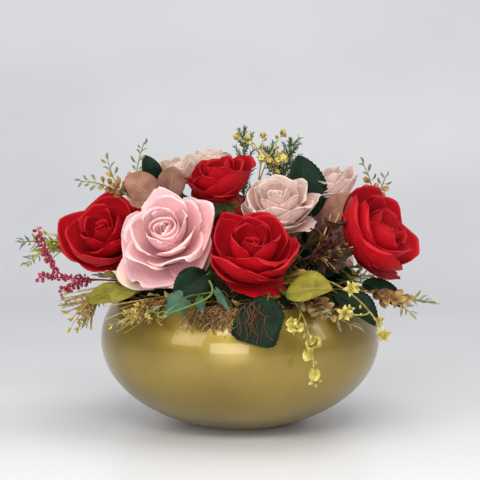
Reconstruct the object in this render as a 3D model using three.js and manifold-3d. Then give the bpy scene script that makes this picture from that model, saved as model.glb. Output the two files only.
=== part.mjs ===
// Floral table centerpiece: twelve roses, leaves and dried sprays in floral foam in a low gold bowl.
// Millimetres, +Z up, origin at the centre of the bowl's flat base, -Y is the front.

import * as THREE from 'three';
import { mergeVertices } from 'three/addons/utils/BufferGeometryUtils.js';
import { ConvexGeometry } from 'three/addons/geometries/ConvexGeometry.js';
import Module from 'manifold-3d';

const wasm = await Module();
wasm.setup();

// ---- Driving dimensions ----

const bowlRadius = 130; // at the belly
const bowlHalfHeight = 84; // half height of the ellipse that the bowl's side follows
const bellyHeight = 80;
const rimHeight = 118;
const bowlWall = 2;
const bowlSides = 36;
const foamSides = 16;

const focusHeight = 95; // every stem in the foam points at the axis at this height
const foamRadius = 88;
const foamRise = 60;
const stemDepth = 20; // length of stem inside the foam

const gap = 0.3; // clearance between pieces that touch
const sheetGap = 0.5; // clearance round the edge of a thin leaf or petal
const petalThickness = 0.8;
const leafThickness = 0.8;
const roseStemRadius = 1.6;
const leafStemRadius = 0.9;
const twigRadius = 0.8;
const ribHalfWidth = 0.6;

// ---- Colours and finishes ----

const finishes = {
  lacquer: new THREE.MeshStandardMaterial({ color: '#b99b4a', roughness: 0.25, metalness: 0.8 }),
  foam: new THREE.MeshStandardMaterial({ color: '#3f5a35', roughness: 0.95, metalness: 0 }),
  fibre: new THREE.MeshStandardMaterial({ color: '#7d5f34', roughness: 0.9, metalness: 0 }),
  redSilk: new THREE.MeshStandardMaterial({ color: '#c4101c', roughness: 0.7, metalness: 0 }),
  pinkSilk: new THREE.MeshStandardMaterial({ color: '#eebdc2', roughness: 0.7, metalness: 0 }),
  dustyPetal: new THREE.MeshStandardMaterial({ color: '#dcb5a6', roughness: 0.75, metalness: 0 }),
  creamPetal: new THREE.MeshStandardMaterial({ color: '#e6cdb4', roughness: 0.75, metalness: 0 }),
  stem: new THREE.MeshStandardMaterial({ color: '#5c6b2c', roughness: 0.7, metalness: 0 }),
  darkLeaf: new THREE.MeshStandardMaterial({ color: '#1f3a26', roughness: 0.55, metalness: 0 }),
  oliveLeaf: new THREE.MeshStandardMaterial({ color: '#8b8a35', roughness: 0.65, metalness: 0 }),
  mauveLeaf: new THREE.MeshStandardMaterial({ color: '#936a5c', roughness: 0.75, metalness: 0 }),
  ivyLeaf: new THREE.MeshStandardMaterial({ color: '#5f8a68', roughness: 0.6, metalness: 0 }),
  goldenSpray: new THREE.MeshStandardMaterial({ color: '#b28a3a', roughness: 0.7, metalness: 0 }),
  limeSpray: new THREE.MeshStandardMaterial({ color: '#a9ab4a', roughness: 0.7, metalness: 0 }),
  crimsonBead: new THREE.MeshStandardMaterial({ color: '#a31f43', roughness: 0.4, metalness: 0 }),
  needle: new THREE.MeshStandardMaterial({ color: '#42542c', roughness: 0.7, metalness: 0 }),
  yellowFloret: new THREE.MeshStandardMaterial({ color: '#d8cf55', roughness: 0.7, metalness: 0 }),
  driedGrass: new THREE.MeshStandardMaterial({ color: '#b7a06a', roughness: 0.85, metalness: 0 }),
};

// ---- Small tools ----

const rad = THREE.MathUtils.degToRad;
const { lerp, smoothstep } = THREE.MathUtils;
const vector = (p) => new THREE.Vector3(...p);
const up = vector([0, 0, 1]);

function seeded(seed) {
  let state = seed;
  return () => {
    state = (state * 1664525 + 1013904223) % 4294967296;
    return state / 4294967296;
  };
}

// Azimuth turns from +X towards +Y, elevation rises from the horizontal.
function direction(azimuth, elevation) {
  const level = Math.cos(rad(elevation));
  const [x, y] = [Math.cos(rad(azimuth)), Math.sin(rad(azimuth))];
  return vector([level * x, level * y, Math.sin(rad(elevation))]);
}

// ---- Solids ----

// A closed mesh as a solid, with shared corners merged and collapsed triangles dropped.
function solid(geometry) {
  const bare = new THREE.BufferGeometry();
  bare.setAttribute('position', geometry.getAttribute('position'));
  bare.setIndex(geometry.index);
  const merged = mergeVertices(bare, 1e-4);
  const corners = merged.index.array;
  const kept = [];
  for (let i = 0; i < corners.length; i += 3) {
    const [a, b, c] = corners.slice(i, i + 3);
    if (a !== b && b !== c && c !== a) kept.push(a, b, c);
  }
  return new wasm.Manifold(new wasm.Mesh({
    numProp: 3,
    vertProperties: new Float32Array(merged.getAttribute('position').array),
    triVerts: new Uint32Array(kept),
  }));
}

function join(solids) {
  let whole = solids[0];
  for (const other of solids.slice(1)) whole = whole.add(other);
  return whole;
}

function largest(body) {
  const pieces = body.decompose();
  return pieces.reduce((best, piece) => (piece.volume() > best.volume() ? piece : best));
}

function hull(body) {
  const { numProp, vertProperties } = body.getMesh();
  const points = [];
  for (let i = 0; i < vertProperties.length; i += numProp) {
    points.push(vector(vertProperties.slice(i, i + 3)));
  }
  return solid(new ConvexGeometry(points));
}

// A thin sheet as a closed solid: points and triangles give its middle surface, and both faces
// are split alike. grow thickens it and pushes its edge out, for the room that it takes up.
function sheet(points, faces, thickness, grow = 0) {
  const normals = points.map(() => new THREE.Vector3());
  const edges = new Map();
  for (const [a, b, c] of faces) {
    const side = points[b].clone().sub(points[a]);
    const normal = side.cross(points[c].clone().sub(points[a]));
    for (const [i, j] of [[a, b], [b, c], [c, a]]) {
      normals[i].add(normal);
      if (!edges.delete(`${j},${i}`)) edges.set(`${i},${j}`, [i, j]);
    }
  }
  normals.forEach((normal) => normal.normalize());
  const spread = points.map(() => new THREE.Vector3());
  for (const [i, j] of edges.values()) {
    const along = points[j].clone().sub(points[i]).normalize();
    spread[i].add(along.clone().cross(normals[i]));
    spread[j].add(along.clone().cross(normals[j]));
  }
  const half = thickness / 2 + grow;
  const edgeGrow = grow > 0 ? sheetGap : 0;
  const grown = points.map((p, i) => p.clone().addScaledVector(spread[i].normalize(), edgeGrow));
  const count = points.length;
  const top = grown.map((p, i) => p.clone().addScaledVector(normals[i], half));
  const bottom = grown.map((p, i) => p.clone().addScaledVector(normals[i], -half));
  const corners = [];
  for (const [a, b, c] of faces) corners.push(a, b, c, c + count, b + count, a + count);
  for (const [i, j] of edges.values()) {
    corners.push(i, i + count, j + count, i, j + count, j);
  }
  const geometry = new THREE.BufferGeometry().setFromPoints([...top, ...bottom]);
  geometry.setIndex(corners);
  return solid(geometry);
}

// Triangles of a grid of points with the given columns and rows, row by row.
function gridFaces(columns, rows) {
  const faces = [];
  for (let row = 0; row < rows; row++) {
    for (let column = 0; column < columns; column++) {
      const a = row * (columns + 1) + column;
      const c = a + columns + 2;
      faces.push([a, a + 1, c], [a, c, c - 1]);
    }
  }
  return faces;
}

// Points along a path.
function pointsAlong(path, from, to, steps) {
  return Array.from({ length: steps + 1 }, (_, i) => path.getPoint(lerp(from, to, i / steps)));
}

// A wire through points, with its section set square to the route at each of them.
function wire(points, radius, sides = 3) {
  const path = new THREE.CatmullRomCurve3(points);
  const steps = points.length - 1;
  const around = [];
  const side = new THREE.Vector3(0.31, 0.17, 0.93);
  points.forEach((point, i) => {
    const along = path.getTangent(i / steps);
    side.addScaledVector(along, -side.dot(along)).normalize();
    const across = along.clone().cross(side);
    for (let k = 0; k < sides; k++) {
      const turn = (2 * Math.PI * k) / sides;
      around.push(point.clone().addScaledVector(side, radius * Math.cos(turn))
        .addScaledVector(across, radius * Math.sin(turn)));
    }
  });
  const corners = [];
  for (let i = 0; i < steps; i++) {
    for (let k = 0; k < sides; k++) {
      const [from, to] = [i * sides + k, i * sides + ((k + 1) % sides)];
      corners.push(from, to, to + sides, from, to + sides, from + sides);
    }
  }
  const last = steps * sides;
  for (let k = 1; k < sides - 1; k++) corners.push(0, k + 1, k, last, last + k, last + k + 1);
  const geometry = new THREE.BufferGeometry().setFromPoints(around);
  geometry.setIndex(corners);
  return solid(geometry);
}

// A ring of any section round the Z axis: its profile is a list of [radius, height].
function turned(profile, sides) {
  const points = profile.map(([radius, height]) => new THREE.Vector2(radius, height));
  const geometry = new THREE.LatheGeometry(points, sides);
  return geometry.rotateX(Math.PI / 2);
}

function bead(centre, radius, stretch = 1, axis = up) {
  const geometry = new THREE.OctahedronGeometry(radius);
  geometry.scale(1, 1, stretch);
  geometry.applyQuaternion(new THREE.Quaternion().setFromUnitVectors(up, axis));
  geometry.translate(...centre.toArray());
  return solid(mergeVertices(geometry));
}

// A three-sided needle from its base to its tip.
function needle(base, tip, radius) {
  const axis = tip.clone().sub(base);
  const geometry = new THREE.ConeGeometry(radius, axis.length(), 3);
  geometry.translate(0, axis.length() / 2, 0);
  const turn = new THREE.Quaternion().setFromUnitVectors(vector([0, 1, 0]), axis.normalize());
  geometry.applyQuaternion(turn).translate(...base.toArray());
  return solid(geometry);
}

// ---- The bowl and what fills it ----

const bowlSideRadius = (height, inset) => {
  const rise = (height - bellyHeight) / (bowlHalfHeight - inset);
  return (bowlRadius - inset) * Math.sqrt(Math.max(0, 1 - rise * rise));
};

function bowlProfile(grow) {
  const outside = -grow;
  const inside = bowlWall + grow;
  const floor = bowlWall + grow;
  const levels = [0, 5, 16, 34, 56, 80, 102, rimHeight];
  const profile = [[0, outside], [bowlSideRadius(0, 0) + grow, outside]];
  for (const level of levels.slice(1)) profile.push([bowlSideRadius(level, outside), level]);
  const lip = (bowlSideRadius(rimHeight, 0) + bowlSideRadius(rimHeight, bowlWall)) / 2;
  profile.push([lip, rimHeight + bowlWall / 2 + grow]);
  for (const level of [rimHeight, 98, 66, 26]) {
    profile.push([bowlSideRadius(level, inside), level]);
  }
  profile.push([bowlSideRadius(floor, inside), floor], [0, floor]);
  return profile;
}

const bowlBody = (grow) => solid(turned(bowlProfile(grow), bowlSides));

// The foam's dome: its surface in a direction from the focus.
function foamReach(elevation) {
  const across = Math.cos(rad(elevation)) / foamRadius;
  const upward = Math.sin(rad(elevation)) / foamRise;
  return 1 / Math.hypot(across, upward);
}

function foamBody(grow) {
  const profile = [[0, bowlWall + gap - grow], [38, bowlWall + gap - grow], [70, 22], [84, 60]];
  for (const elevation of [0, 25, 50, 72]) {
    const reach = foamReach(elevation) + grow;
    const height = focusHeight + reach * Math.sin(rad(elevation));
    profile.push([reach * Math.cos(rad(elevation)), height]);
  }
  profile.push([0, focusHeight + foamRise + grow]);
  return solid(turned(profile, foamSides));
}

// A collar of wood-wool fibre that fills the space between the foam and the bowl's rim.
function collarBody(grow) {
  const random = seeded(7);
  const inner = foamRadius + gap - grow;
  const outer = bowlSideRadius(rimHeight, bowlWall) - 2 * gap + grow;
  const profile = [
    [inner, 96 - grow], [outer, 97 - grow], [outer, 114], [outer - 2, 119 + grow],
    [lerp(inner, outer, 0.5), 121 + grow], [inner, 117 + grow], [inner, 96 - grow],
  ];
  const geometry = mergeVertices(turned(profile, bowlSides).deleteAttribute('normal')
    .deleteAttribute('uv'), 1e-3);
  const place = geometry.getAttribute('position');
  const crest = 117;
  for (let i = 0; i < place.count; i++) {
    const lump = random() * 3;
    if (place.getZ(i) > crest) place.setZ(i, place.getZ(i) + lump);
  }
  return solid(geometry);
}

// ---- Stems ----

const focus = vector([0, 0, focusHeight]);

// Where a stem enters the foam: its mouth, and the way out of it.
function footing([azimuth, elevation]) {
  const out = direction(azimuth, elevation);
  return { out, mouth: focus.clone().addScaledVector(out, foamReach(elevation)) };
}

// A stem's path above the foam: straight out for the lift, then over to its end.
function arch({ mouth, out }, lift, end, arrive) {
  const turnsAt = mouth.clone().addScaledVector(out, lift);
  return new THREE.CubicBezierCurve3(mouth, turnsAt, end.clone().sub(arrive), end);
}

// The wire of a stem: its straight root in the foam, and its path as far as the given share.
function stemWire({ mouth, out }, path, share, radius, steps, grow) {
  const root = mouth.clone().addScaledVector(out, -stemDepth - grow);
  const sides = radius === roseStemRadius ? 4 : 3;
  return wire([root, ...pointsAlong(path, 0, share, steps)], radius + grow, sides);
}

// ---- Roses ----

// Petal layers from the heart outwards, in units of the bloom's radius. lean is the petal's angle
// from the bloom's axis at its foot and at its rim, and roll is how much of the rim turns back.
const roseKinds = {
  cup: {
    bud: 0.27,
    layers: [
      { count: 3, length: 1.08, width: 0.6, lean: [52, 4], roll: 0.1, rollRadius: 0.1, point: 1.9 },
      { count: 5, length: 1.14, width: 0.7, lean: [76, 36], roll: 0.2, rollRadius: 0.12, point: 1.6 },
    ],
  },
  open: {
    bud: 0.28,
    layers: [
      { count: 3, length: 0.98, width: 0.62, lean: [58, 12], roll: 0.12, rollRadius: 0.1, point: 1.8 },
      { count: 5, length: 1.12, width: 0.68, lean: [86, 58], roll: 0.24, rollRadius: 0.12, point: 1.3 },
    ],
  },
  garden: {
    bud: 0.28,
    layers: [
      { count: 3, length: 1.05, width: 0.6, lean: [46, 8], roll: 0.06, rollRadius: 0.1, point: 1.6 },
      { count: 4, length: 1.12, width: 0.72, lean: [72, 32], roll: 0.12, rollRadius: 0.1, point: 1.4 },
    ],
  },
};

const footRadius = 0.07;
const footHeights = [0.12, 0.05]; // of each layer
const foldSlope = rad(36); // the rolled rim's fold lines fall away from the petal's tip at this angle
const spiral = 0.06; // how far a petal's free side stands off its neighbour's

// A point on a petal: u runs across from -1 to 1 and v from the foot to the rim.
function petalPoint(form, turn, u, v) {
  const widen = 1 - (1 - Math.min(v / 0.78, 1)) ** 2;
  const halfWidth = form.width * lerp(0.1, 1, widen) * lerp(1, 0.86, smoothstep(v, 0.75, 1));
  let across = u * halfWidth;
  let along = form.length * v * (1 - 0.22 * v * Math.abs(u) ** form.point);
  const side = across > 0 ? 0.6 * across : -0.2 * across;
  const past = (along - form.length) * Math.cos(foldSlope) + side * Math.sin(foldSlope) + form.roll;
  let off = spiral * u * lerp(0.5, 1, v);
  if (past > 0) {
    const bend = past / form.rollRadius;
    const lost = past - form.rollRadius * Math.sin(bend);
    along -= lost * Math.cos(foldSlope);
    across -= Math.sign(across) * lost * Math.sin(foldSlope) * (across > 0 ? 1 : 0.3);
    off += form.rollRadius * (1 - Math.cos(bend));
  }
  const [from, to] = form.lean.map(rad);
  const lean = from + ((to - from) * along) / form.length;
  const curve = form.length / (to - from);
  const radius = footRadius + curve * (Math.cos(from) - Math.cos(lean));
  const height = form.foot + curve * (Math.sin(lean) - Math.sin(from));
  const angle = turn + across / Math.max(radius, 0.16);
  const reach = radius + off * Math.cos(lean);
  return vector([reach * Math.cos(angle), reach * Math.sin(angle), height - off * Math.sin(lean)]);
}

const petalColumns = 3;
const petalRows = [0.6, 1];

// One petal: a fan of triangles spreads from its foot to its lowest row.
function petal(form, turn, size, grow) {
  const rows = petalRows.flatMap((v) => {
    return Array.from({ length: petalColumns + 1 }, (_, i) => {
      return petalPoint(form, turn, (2 * i) / petalColumns - 1, v).multiplyScalar(size);
    });
  });
  const foot = petalPoint(form, turn, 0, 0).multiplyScalar(size);
  const faces = gridFaces(petalColumns, petalRows.length - 1);
  for (const corners of faces) corners.forEach((k, i) => (corners[i] = k + 1));
  for (let i = 1; i <= petalColumns; i++) faces.push([0, i + 1, i]);
  return sheet([foot, ...rows], faces, petalThickness, grow);
}

const goldenTurn = rad(137.5);

// The bud in the heart: three petals wrapped round each other, each with a step at its edge.
function budBody(width, radius, grow) {
  const steps = [1, 0.86, 0.74];
  const rings = [[0.6, 0, 0.2], [1, 0.5, 1], [0.8, 0.86, 1]];
  const sides = 3 * steps.length;
  const points = rings.flatMap(([share, height, depth], ring) => {
    return Array.from({ length: sides }, (_, i) => {
      const reach = width * share * lerp(1, steps[i % steps.length], depth) * radius + grow;
      const turn = (2 * Math.PI * i) / sides + 0.35 * ring;
      const rise = height * radius + (ring > 1 ? grow : 0);
      return vector([reach * Math.cos(turn), reach * Math.sin(turn), rise]);
    });
  });
  points.push(vector([0, 0, 0]), vector([0, 0, 0.76 * radius + grow]));
  const corners = [];
  for (let i = 0; i < sides; i++) {
    const next = (i + 1) % sides;
    for (const low of [0, sides]) {
      const [a, b] = [low + i, low + next];
      corners.push(a, b, b + sides, a, b + sides, a + sides);
    }
    corners.push(next, i, 3 * sides, 2 * sides + i, 2 * sides + next, 3 * sides + 1);
  }
  const geometry = new THREE.BufferGeometry().setFromPoints(points);
  geometry.setIndex(corners);
  return solid(geometry);
}

function bloomSolids({ kind, size }, grow) {
  const radius = size / 2;
  const { bud, layers } = roseKinds[kind];
  const solids = [budBody(bud, radius, grow)];
  layers.forEach(({ count, ...form }, layer) => {
    for (let i = 0; i < count; i++) {
      const turn = layer * goldenTurn + (2 * Math.PI * i) / count;
      solids.push(petal({ ...form, foot: footHeights[layer] }, turn, radius, grow));
    }
  });
  return solids;
}

// Moves a solid from a bloom's own frame, where it faces +Z, to its place.
function placeBloom(body, rose) {
  const { base, facing } = bloomSeat(rose);
  const right = up.clone().cross(facing).normalize();
  const top = facing.clone().cross(right);
  const frame = new THREE.Matrix4().makeBasis(right, top, facing);
  const spin = new THREE.Matrix4().makeRotationZ(rad(rose.spin));
  const matrix = frame.multiply(spin).setPosition(base);
  return body.transform(matrix.elements);
}

const calyxDepth = 11;
const bloomDepth = 0.45; // the middle of a bloom above its base, in radii

function bloomSeat(rose) {
  const facing = direction(...rose.faces);
  const base = vector(rose.centre).addScaledVector(facing, (-bloomDepth * rose.size) / 2);
  return { base, facing };
}

// The green calyx with a star of five pointed sepals, in a bloom's own frame.
function calyx(size, grow) {
  const radius = size / 2;
  const rim = Array.from({ length: 10 }, (_, i) => {
    const turn = (Math.PI * i) / 5;
    const reach = (i % 2 ? 0.18 : 0.62) * radius + grow;
    return vector([reach * Math.cos(turn), reach * Math.sin(turn), i % 2 ? -3 : -7.5]);
  });
  const crown = vector([0, 0, -gap + grow]);
  const stalk = vector([0, 0, -calyxDepth - grow]);
  const corners = rim.flatMap((_, i) => {
    const [here, next] = [2 + i, 2 + ((i + 1) % 10)];
    return [0, here, next, 1, next, here];
  });
  const geometry = new THREE.BufferGeometry().setFromPoints([crown, stalk, ...rim]);
  geometry.setIndex(corners);
  return solid(geometry);
}

const roses = [
  { name: 'rose_red_front', kind: 'cup', finish: 'redSilk', size: 88,
    centre: [10, -88, 168], faces: [-84, 56], spin: 10, enters: [-84, 36] },
  { name: 'rose_pink_front', kind: 'open', finish: 'pinkSilk', size: 98,
    centre: [-70, -76, 184], faces: [-103, 36], spin: 20, enters: [-136, 40] },
  { name: 'rose_red_right', kind: 'cup', finish: 'redSilk', size: 98,
    centre: [130, -20, 179], faces: [-32, 34], spin: 0, enters: [-10, 32] },
  { name: 'rose_red_left', kind: 'cup', finish: 'redSilk', size: 88,
    centre: [-127, -14, 179], faces: [-108, 42], spin: 40, enters: [176, 32] },
  { name: 'rose_red_top', kind: 'cup', finish: 'redSilk', size: 70,
    centre: [-18, 8, 224], faces: [-120, 66], spin: 0, enters: [150, 74] },
  { name: 'rose_dusty_front', kind: 'garden', finish: 'dustyPetal', size: 88,
    centre: [37, -14, 199], faces: [-100, 58], spin: 0, enters: [-24, 62] },
  { name: 'rose_dusty_right', kind: 'garden', finish: 'dustyPetal', size: 66,
    centre: [88, 36, 217], faces: [-150, 66], spin: 30, enters: [26, 48] },
  { name: 'rose_cream_left', kind: 'garden', finish: 'creamPetal', size: 52,
    centre: [-62, 30, 232], faces: [-110, 76], spin: 0, enters: [156, 50] },
  { name: 'rose_cream_back', kind: 'garden', finish: 'creamPetal', size: 56,
    centre: [-30, 68, 238], faces: [110, 70], spin: 50, enters: [112, 62] },
  { name: 'rose_dusty_back', kind: 'garden', finish: 'dustyPetal', size: 78,
    centre: [-100, 66, 186], faces: [142, 38], spin: 0, enters: [142, 34] },
  { name: 'rose_red_back', kind: 'cup', finish: 'redSilk', size: 84,
    centre: [-6, 108, 174], faces: [96, 36], spin: 15, enters: [92, 36] },
  { name: 'rose_pink_back', kind: 'open', finish: 'pinkSilk', size: 88,
    centre: [84, 88, 176], faces: [48, 34], spin: 0, enters: [46, 34] },
];

function roseStemPath(rose) {
  const { base, facing } = bloomSeat(rose);
  const end = base.clone().addScaledVector(facing, -7);
  return arch(footing(rose.enters), 14, end, facing.clone().multiplyScalar(14));
}

function roseStem(rose) {
  const path = roseStemPath(rose);
  return {
    wires: (grow) => [stemWire(footing(rose.enters), path, 1, roseStemRadius, 3, grow)],
    blades: (grow) => [placeBloom(calyx(rose.size, grow), rose)],
  };
}

const stemLeafShares = [0.35, 0.65]; // how far up its stem each leaf grows
const stemLeafLength = 32;
const stemLeafWidth = 10;

// The leaves of a rose's own stem, that spread below its bloom.
function stemLeaves(rose, grow) {
  const path = roseStemPath(rose);
  return stemLeafShares.map((share, i) => {
    const base = path.getPoint(share);
    const along = path.getTangent(share);
    const out = aside(path, share, i * goldenTurn).addScaledVector(along, 0.35).normalize();
    const tip = base.clone().addScaledVector(out, stemLeafLength);
    return blade({ base, tip, face: along, bow: -2.5 }, smooth(stemLeafWidth), grow);
  });
}

// ---- Leaves ----

// A leaf blade along its rib, from its base to its tip: face is the way its upper side looks, and
// bow is how far the rib's middle rises that way. outline gives half the width at each row.
function blade({ base, tip, face, bow = 4, fold = 0.25 }, outline, grow) {
  const start = vector(base);
  const end = vector(tip);
  const facing = vector(face).normalize();
  const middle = start.clone().lerp(end, 0.5).addScaledVector(facing, 2 * bow);
  const rib = new THREE.QuadraticBezierCurve3(start, middle, end);
  const rows = outline.length - 1;
  const points = outline.flatMap((width, row) => {
    const along = rib.getTangent(row / rows);
    const side = along.clone().cross(facing).normalize();
    const raised = side.clone().cross(along);
    const centre = rib.getPoint(row / rows);
    return [-1, 0, 1].map((u) => centre.clone()
      .addScaledVector(side, u * width).addScaledVector(raised, Math.abs(u) * width * fold));
  });
  return sheet(points, gridFaces(2, rows), leafThickness, grow);
}

// Half widths of an oval leaf whose edge is cut into teeth.
function toothed(width, teeth) {
  const widths = [0.8];
  for (let i = 1; i < 2 * teeth; i++) {
    const t = i / (2 * teeth);
    const oval = Math.sin(Math.PI * t ** 0.8) ** 0.8;
    widths.push(width * oval * (i % 2 ? 1 : 0.84));
  }
  widths.push(0.4);
  return widths;
}

const smooth = (width) => [0.12, 0.8, 1, 0.72, 0.06].map((share) => share * width);

// An ivy leaf: five lobes round the point where its stalk joins.
function ivyBlade({ base, tip, face }, grow) {
  const start = vector(base);
  const along = vector(tip).sub(start);
  const side = along.clone().cross(vector(face)).normalize().multiplyScalar(along.length());
  const lobes = [
    [0, -0.02], [0.34, -0.22], [0.4, 0.1], [0.62, 0.3], [0.34, 0.5], [0, 1],
    [-0.34, 0.5], [-0.62, 0.3], [-0.4, 0.1], [-0.34, -0.22],
  ];
  const heart = start.clone().addScaledVector(along, 0.2);
  const points = [heart, ...lobes.map(([x, y]) => {
    return start.clone().addScaledVector(side, -x).addScaledVector(along, y);
  })];
  const faces = lobes.map((_, i) => [0, 1 + i, 1 + ((i + 1) % lobes.length)]);
  return sheet(points, faces, leafThickness, grow);
}

const leafShapes = {
  toothed: (leaf, grow) => blade(leaf, toothed(leaf.width, leaf.teeth ?? 3), grow),
  smooth: (leaf, grow) => blade(leaf, smooth(leaf.width), grow),
  ivy: ivyBlade,
};

const leafStems = [
  { name: 'leaf_front_rim', finish: 'darkLeaf', enters: [-78, 20], lift: 22, leaves: [
    { shape: 'toothed', base: [24, -120, 130], tip: [6, -142, 90], face: [-0.1, -1, 0.5],
      width: 22, teeth: 4 },
  ] },
  { name: 'leaf_front_olive', finish: 'oliveLeaf', enters: [-64, 32], lift: 16, leaves: [
    { shape: 'toothed', base: [40, -106, 132], tip: [78, -122, 138], face: [-0.1, -0.75, 0.8], width: 17 },
  ] },
  { name: 'leaf_front_dark', finish: 'darkLeaf', enters: [-110, 30], lift: 16, leaves: [
    { shape: 'toothed', base: [-28, -92, 148], tip: [-56, -122, 128], face: [0.2, -1, 0.7], width: 15 },
  ] },
  { name: 'leaf_right_dark', finish: 'darkLeaf', enters: [-42, 26], lift: 18, leaves: [
    { shape: 'toothed', base: [84, -72, 130], tip: [118, -102, 104], face: [0.3, -0.8, 0.8], width: 15 },
  ] },
  { name: 'leaf_right_low', finish: 'darkLeaf', enters: [-20, 22], lift: 22, leaves: [
    { shape: 'toothed', base: [112, -30, 134], tip: [148, -42, 112], face: [0.1, -0.7, 0.9], width: 13 },
  ] },
  { name: 'leaf_left_pair', finish: 'oliveLeaf', enters: [-148, 28], lift: 18, leaves: [
    { shape: 'smooth', base: [-98, -64, 130], tip: [-137, -72, 122], face: [-0.2, -0.8, 0.8], width: 15 },
    { shape: 'smooth', base: [-92, -72, 132], tip: [-110, -104, 124], face: [0, -0.7, 0.9], width: 9 },
  ] },
  { name: 'leaf_mauve_left', finish: 'mauveLeaf', enters: [-172, 60], lift: 20, leaves: [
    { shape: 'smooth', base: [-72, -6, 205], tip: [-106, -12, 230], face: [0, -1, 0.5], width: 15 },
    { shape: 'smooth', base: [-66, -8, 206], tip: [-62, -10, 240], face: [0.1, -1, 0.3], width: 13 },
    { shape: 'smooth', base: [-70, -12, 203], tip: [-100, -34, 206], face: [0, -0.8, 0.8], width: 12 },
  ] },
  { name: 'leaf_mauve_right', finish: 'mauveLeaf', enters: [-4, 48], lift: 20, leaves: [
    { shape: 'smooth', base: [76, 0, 186], tip: [104, -10, 212], face: [0, -1, 0.5], width: 12 },
  ] },
  { name: 'leaf_top_dark', finish: 'darkLeaf', enters: [10, 60], lift: 20, leaves: [
    { shape: 'toothed', base: [68, 8, 192], tip: [54, 12, 250], face: [0.1, -1, 0.2],
      width: 19, teeth: 4 },
  ] },
  { name: 'leaf_top_left', finish: 'darkLeaf', enters: [172, 58], lift: 20, leaves: [
    { shape: 'toothed', base: [-76, 14, 222], tip: [-90, 8, 250], face: [0, -1, 0.3], width: 9 },
  ] },
  { name: 'leaf_back_left', finish: 'darkLeaf', enters: [126, 26], lift: 20, leaves: [
    { shape: 'toothed', base: [-60, 104, 140], tip: [-78, 142, 120], face: [-0.4, 0.8, 0.8],
      width: 18, teeth: 4 },
    { shape: 'toothed', base: [-52, 100, 142], tip: [-40, 148, 128], face: [0, 0.8, 0.8], width: 15 },
  ] },
  { name: 'leaf_back_right', finish: 'darkLeaf', enters: [70, 26], lift: 20, leaves: [
    { shape: 'toothed', base: [40, 112, 138], tip: [56, 150, 116], face: [0.2, 0.8, 0.8],
      width: 18, teeth: 4 },
  ] },
  { name: 'leaf_back_olive', finish: 'oliveLeaf', enters: [14, 26], lift: 20, leaves: [
    { shape: 'toothed', base: [114, 38, 142], tip: [150, 54, 130], face: [0.5, 0.3, 0.9], width: 15 },
    { shape: 'toothed', base: [112, 32, 144], tip: [146, 22, 144], face: [0.5, 0, 0.9], width: 13 },
  ] },
  { name: 'ivy_sprig', finish: 'ivyLeaf', enters: [-104, 19], lift: 22, leaves: [
    { shape: 'ivy', base: [-40, -134, 128], tip: [-52, -142, 111], face: [0, -1, 0.35] },
    { shape: 'ivy', base: [-18, -132, 132], tip: [-6, -140, 113], face: [0.2, -1, 0.35] },
    { shape: 'ivy', base: [-30, -131, 133], tip: [-27, -142, 118], face: [0, -1, 0.5] },
  ] },
];

function leafStem({ leaves, lift, enters }) {
  const foot = footing(enters);
  const ways = leaves.map(({ base, tip }) => vector(tip).sub(vector(base)).normalize());
  const joints = leaves.map(({ base }, i) => vector(base).addScaledVector(ways[i], 3));
  const main = arch(foot, lift, joints[0], ways[0].clone().multiplyScalar(14));
  const fork = main.getPoint(0.6);
  const stalks = leaves.slice(1).map((leaf, i) => {
    return new THREE.QuadraticBezierCurve3(fork, vector(leaf.base), joints[i + 1]);
  });
  return {
    wires: (grow) => [
      stemWire(foot, main, 1, leafStemRadius, 3, grow),
      ...stalks.map((path) => wire(pointsAlong(path, 0, 1, 2), twigRadius + grow)),
    ],
    blades: (grow) => leaves.map((leaf) => leafShapes[leaf.shape](leaf, grow)),
  };
}

// ---- Sprays ----

// A twig as one thin arched blade, cut to its rib into pairs of oval leaflets and one at its end.
function frond(path, { pairs, length, width, face, rise = 0.4 }, grow) {
  const facing = vector(face).normalize();
  const rows = pairs + 1;
  const points = [];
  const faces = [];
  const frames = Array.from({ length: rows + 1 }, (_, row) => {
    const along = path.getTangent(row / rows);
    const side = along.clone().cross(facing).normalize();
    return { along, side, normal: side.clone().cross(along) };
  });
  frames.forEach(({ side }, row) => {
    const centre = path.getPoint(row / rows);
    points.push(centre.clone().addScaledVector(side, -ribHalfWidth));
    points.push(centre.clone().addScaledVector(side, ribHalfWidth));
    const a = 2 * row - 2;
    if (row > 0) faces.push([a, a + 1, a + 3], [a, a + 3, a + 2]);
  });
  const leaflet = (low, high, axis, cross, reach, mirrored) => {
    const foot = points[low].clone().lerp(points[high], 0.5);
    const belly = foot.clone().addScaledVector(axis, reach * 0.5);
    const first = points.length;
    points.push(belly.clone().addScaledVector(cross, -width / 2));
    points.push(belly.addScaledVector(cross, width / 2));
    points.push(foot.addScaledVector(axis, reach));
    const corners = [[low, first, first + 1], [low, first + 1, high], [first, first + 2, first + 1]];
    faces.push(...corners.map((three) => (mirrored ? three.reverse() : three)));
  };
  for (let i = 0; i < pairs; i++) {
    const { along, side, normal } = frames[i + 1];
    for (const hand of [-1, 1]) {
      const axis = side.clone().multiplyScalar(0.75 * hand).addScaledVector(along, 0.66)
        .addScaledVector(normal, rise * (((2 * i + hand + 3) % 3) - 1));
      const cross = along.clone().multiplyScalar(0.75).addScaledVector(side, -0.66 * hand);
      const low = 2 * i + 2 + (hand > 0 ? 1 : 0);
      leaflet(low, low + 2, axis, cross, length * lerp(1, 0.75, i / pairs), hand < 0);
    }
  }
  const { along, side } = frames[rows];
  leaflet(2 * rows, 2 * rows + 1, along, side, length * 0.7, true);
  return sheet(points, faces, leafThickness, grow);
}

// The stretch of a path from one of its points to its end.
function stretch(path, from) {
  return new THREE.CatmullRomCurve3(pointsAlong(path, from, 1, 4));
}

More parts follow.
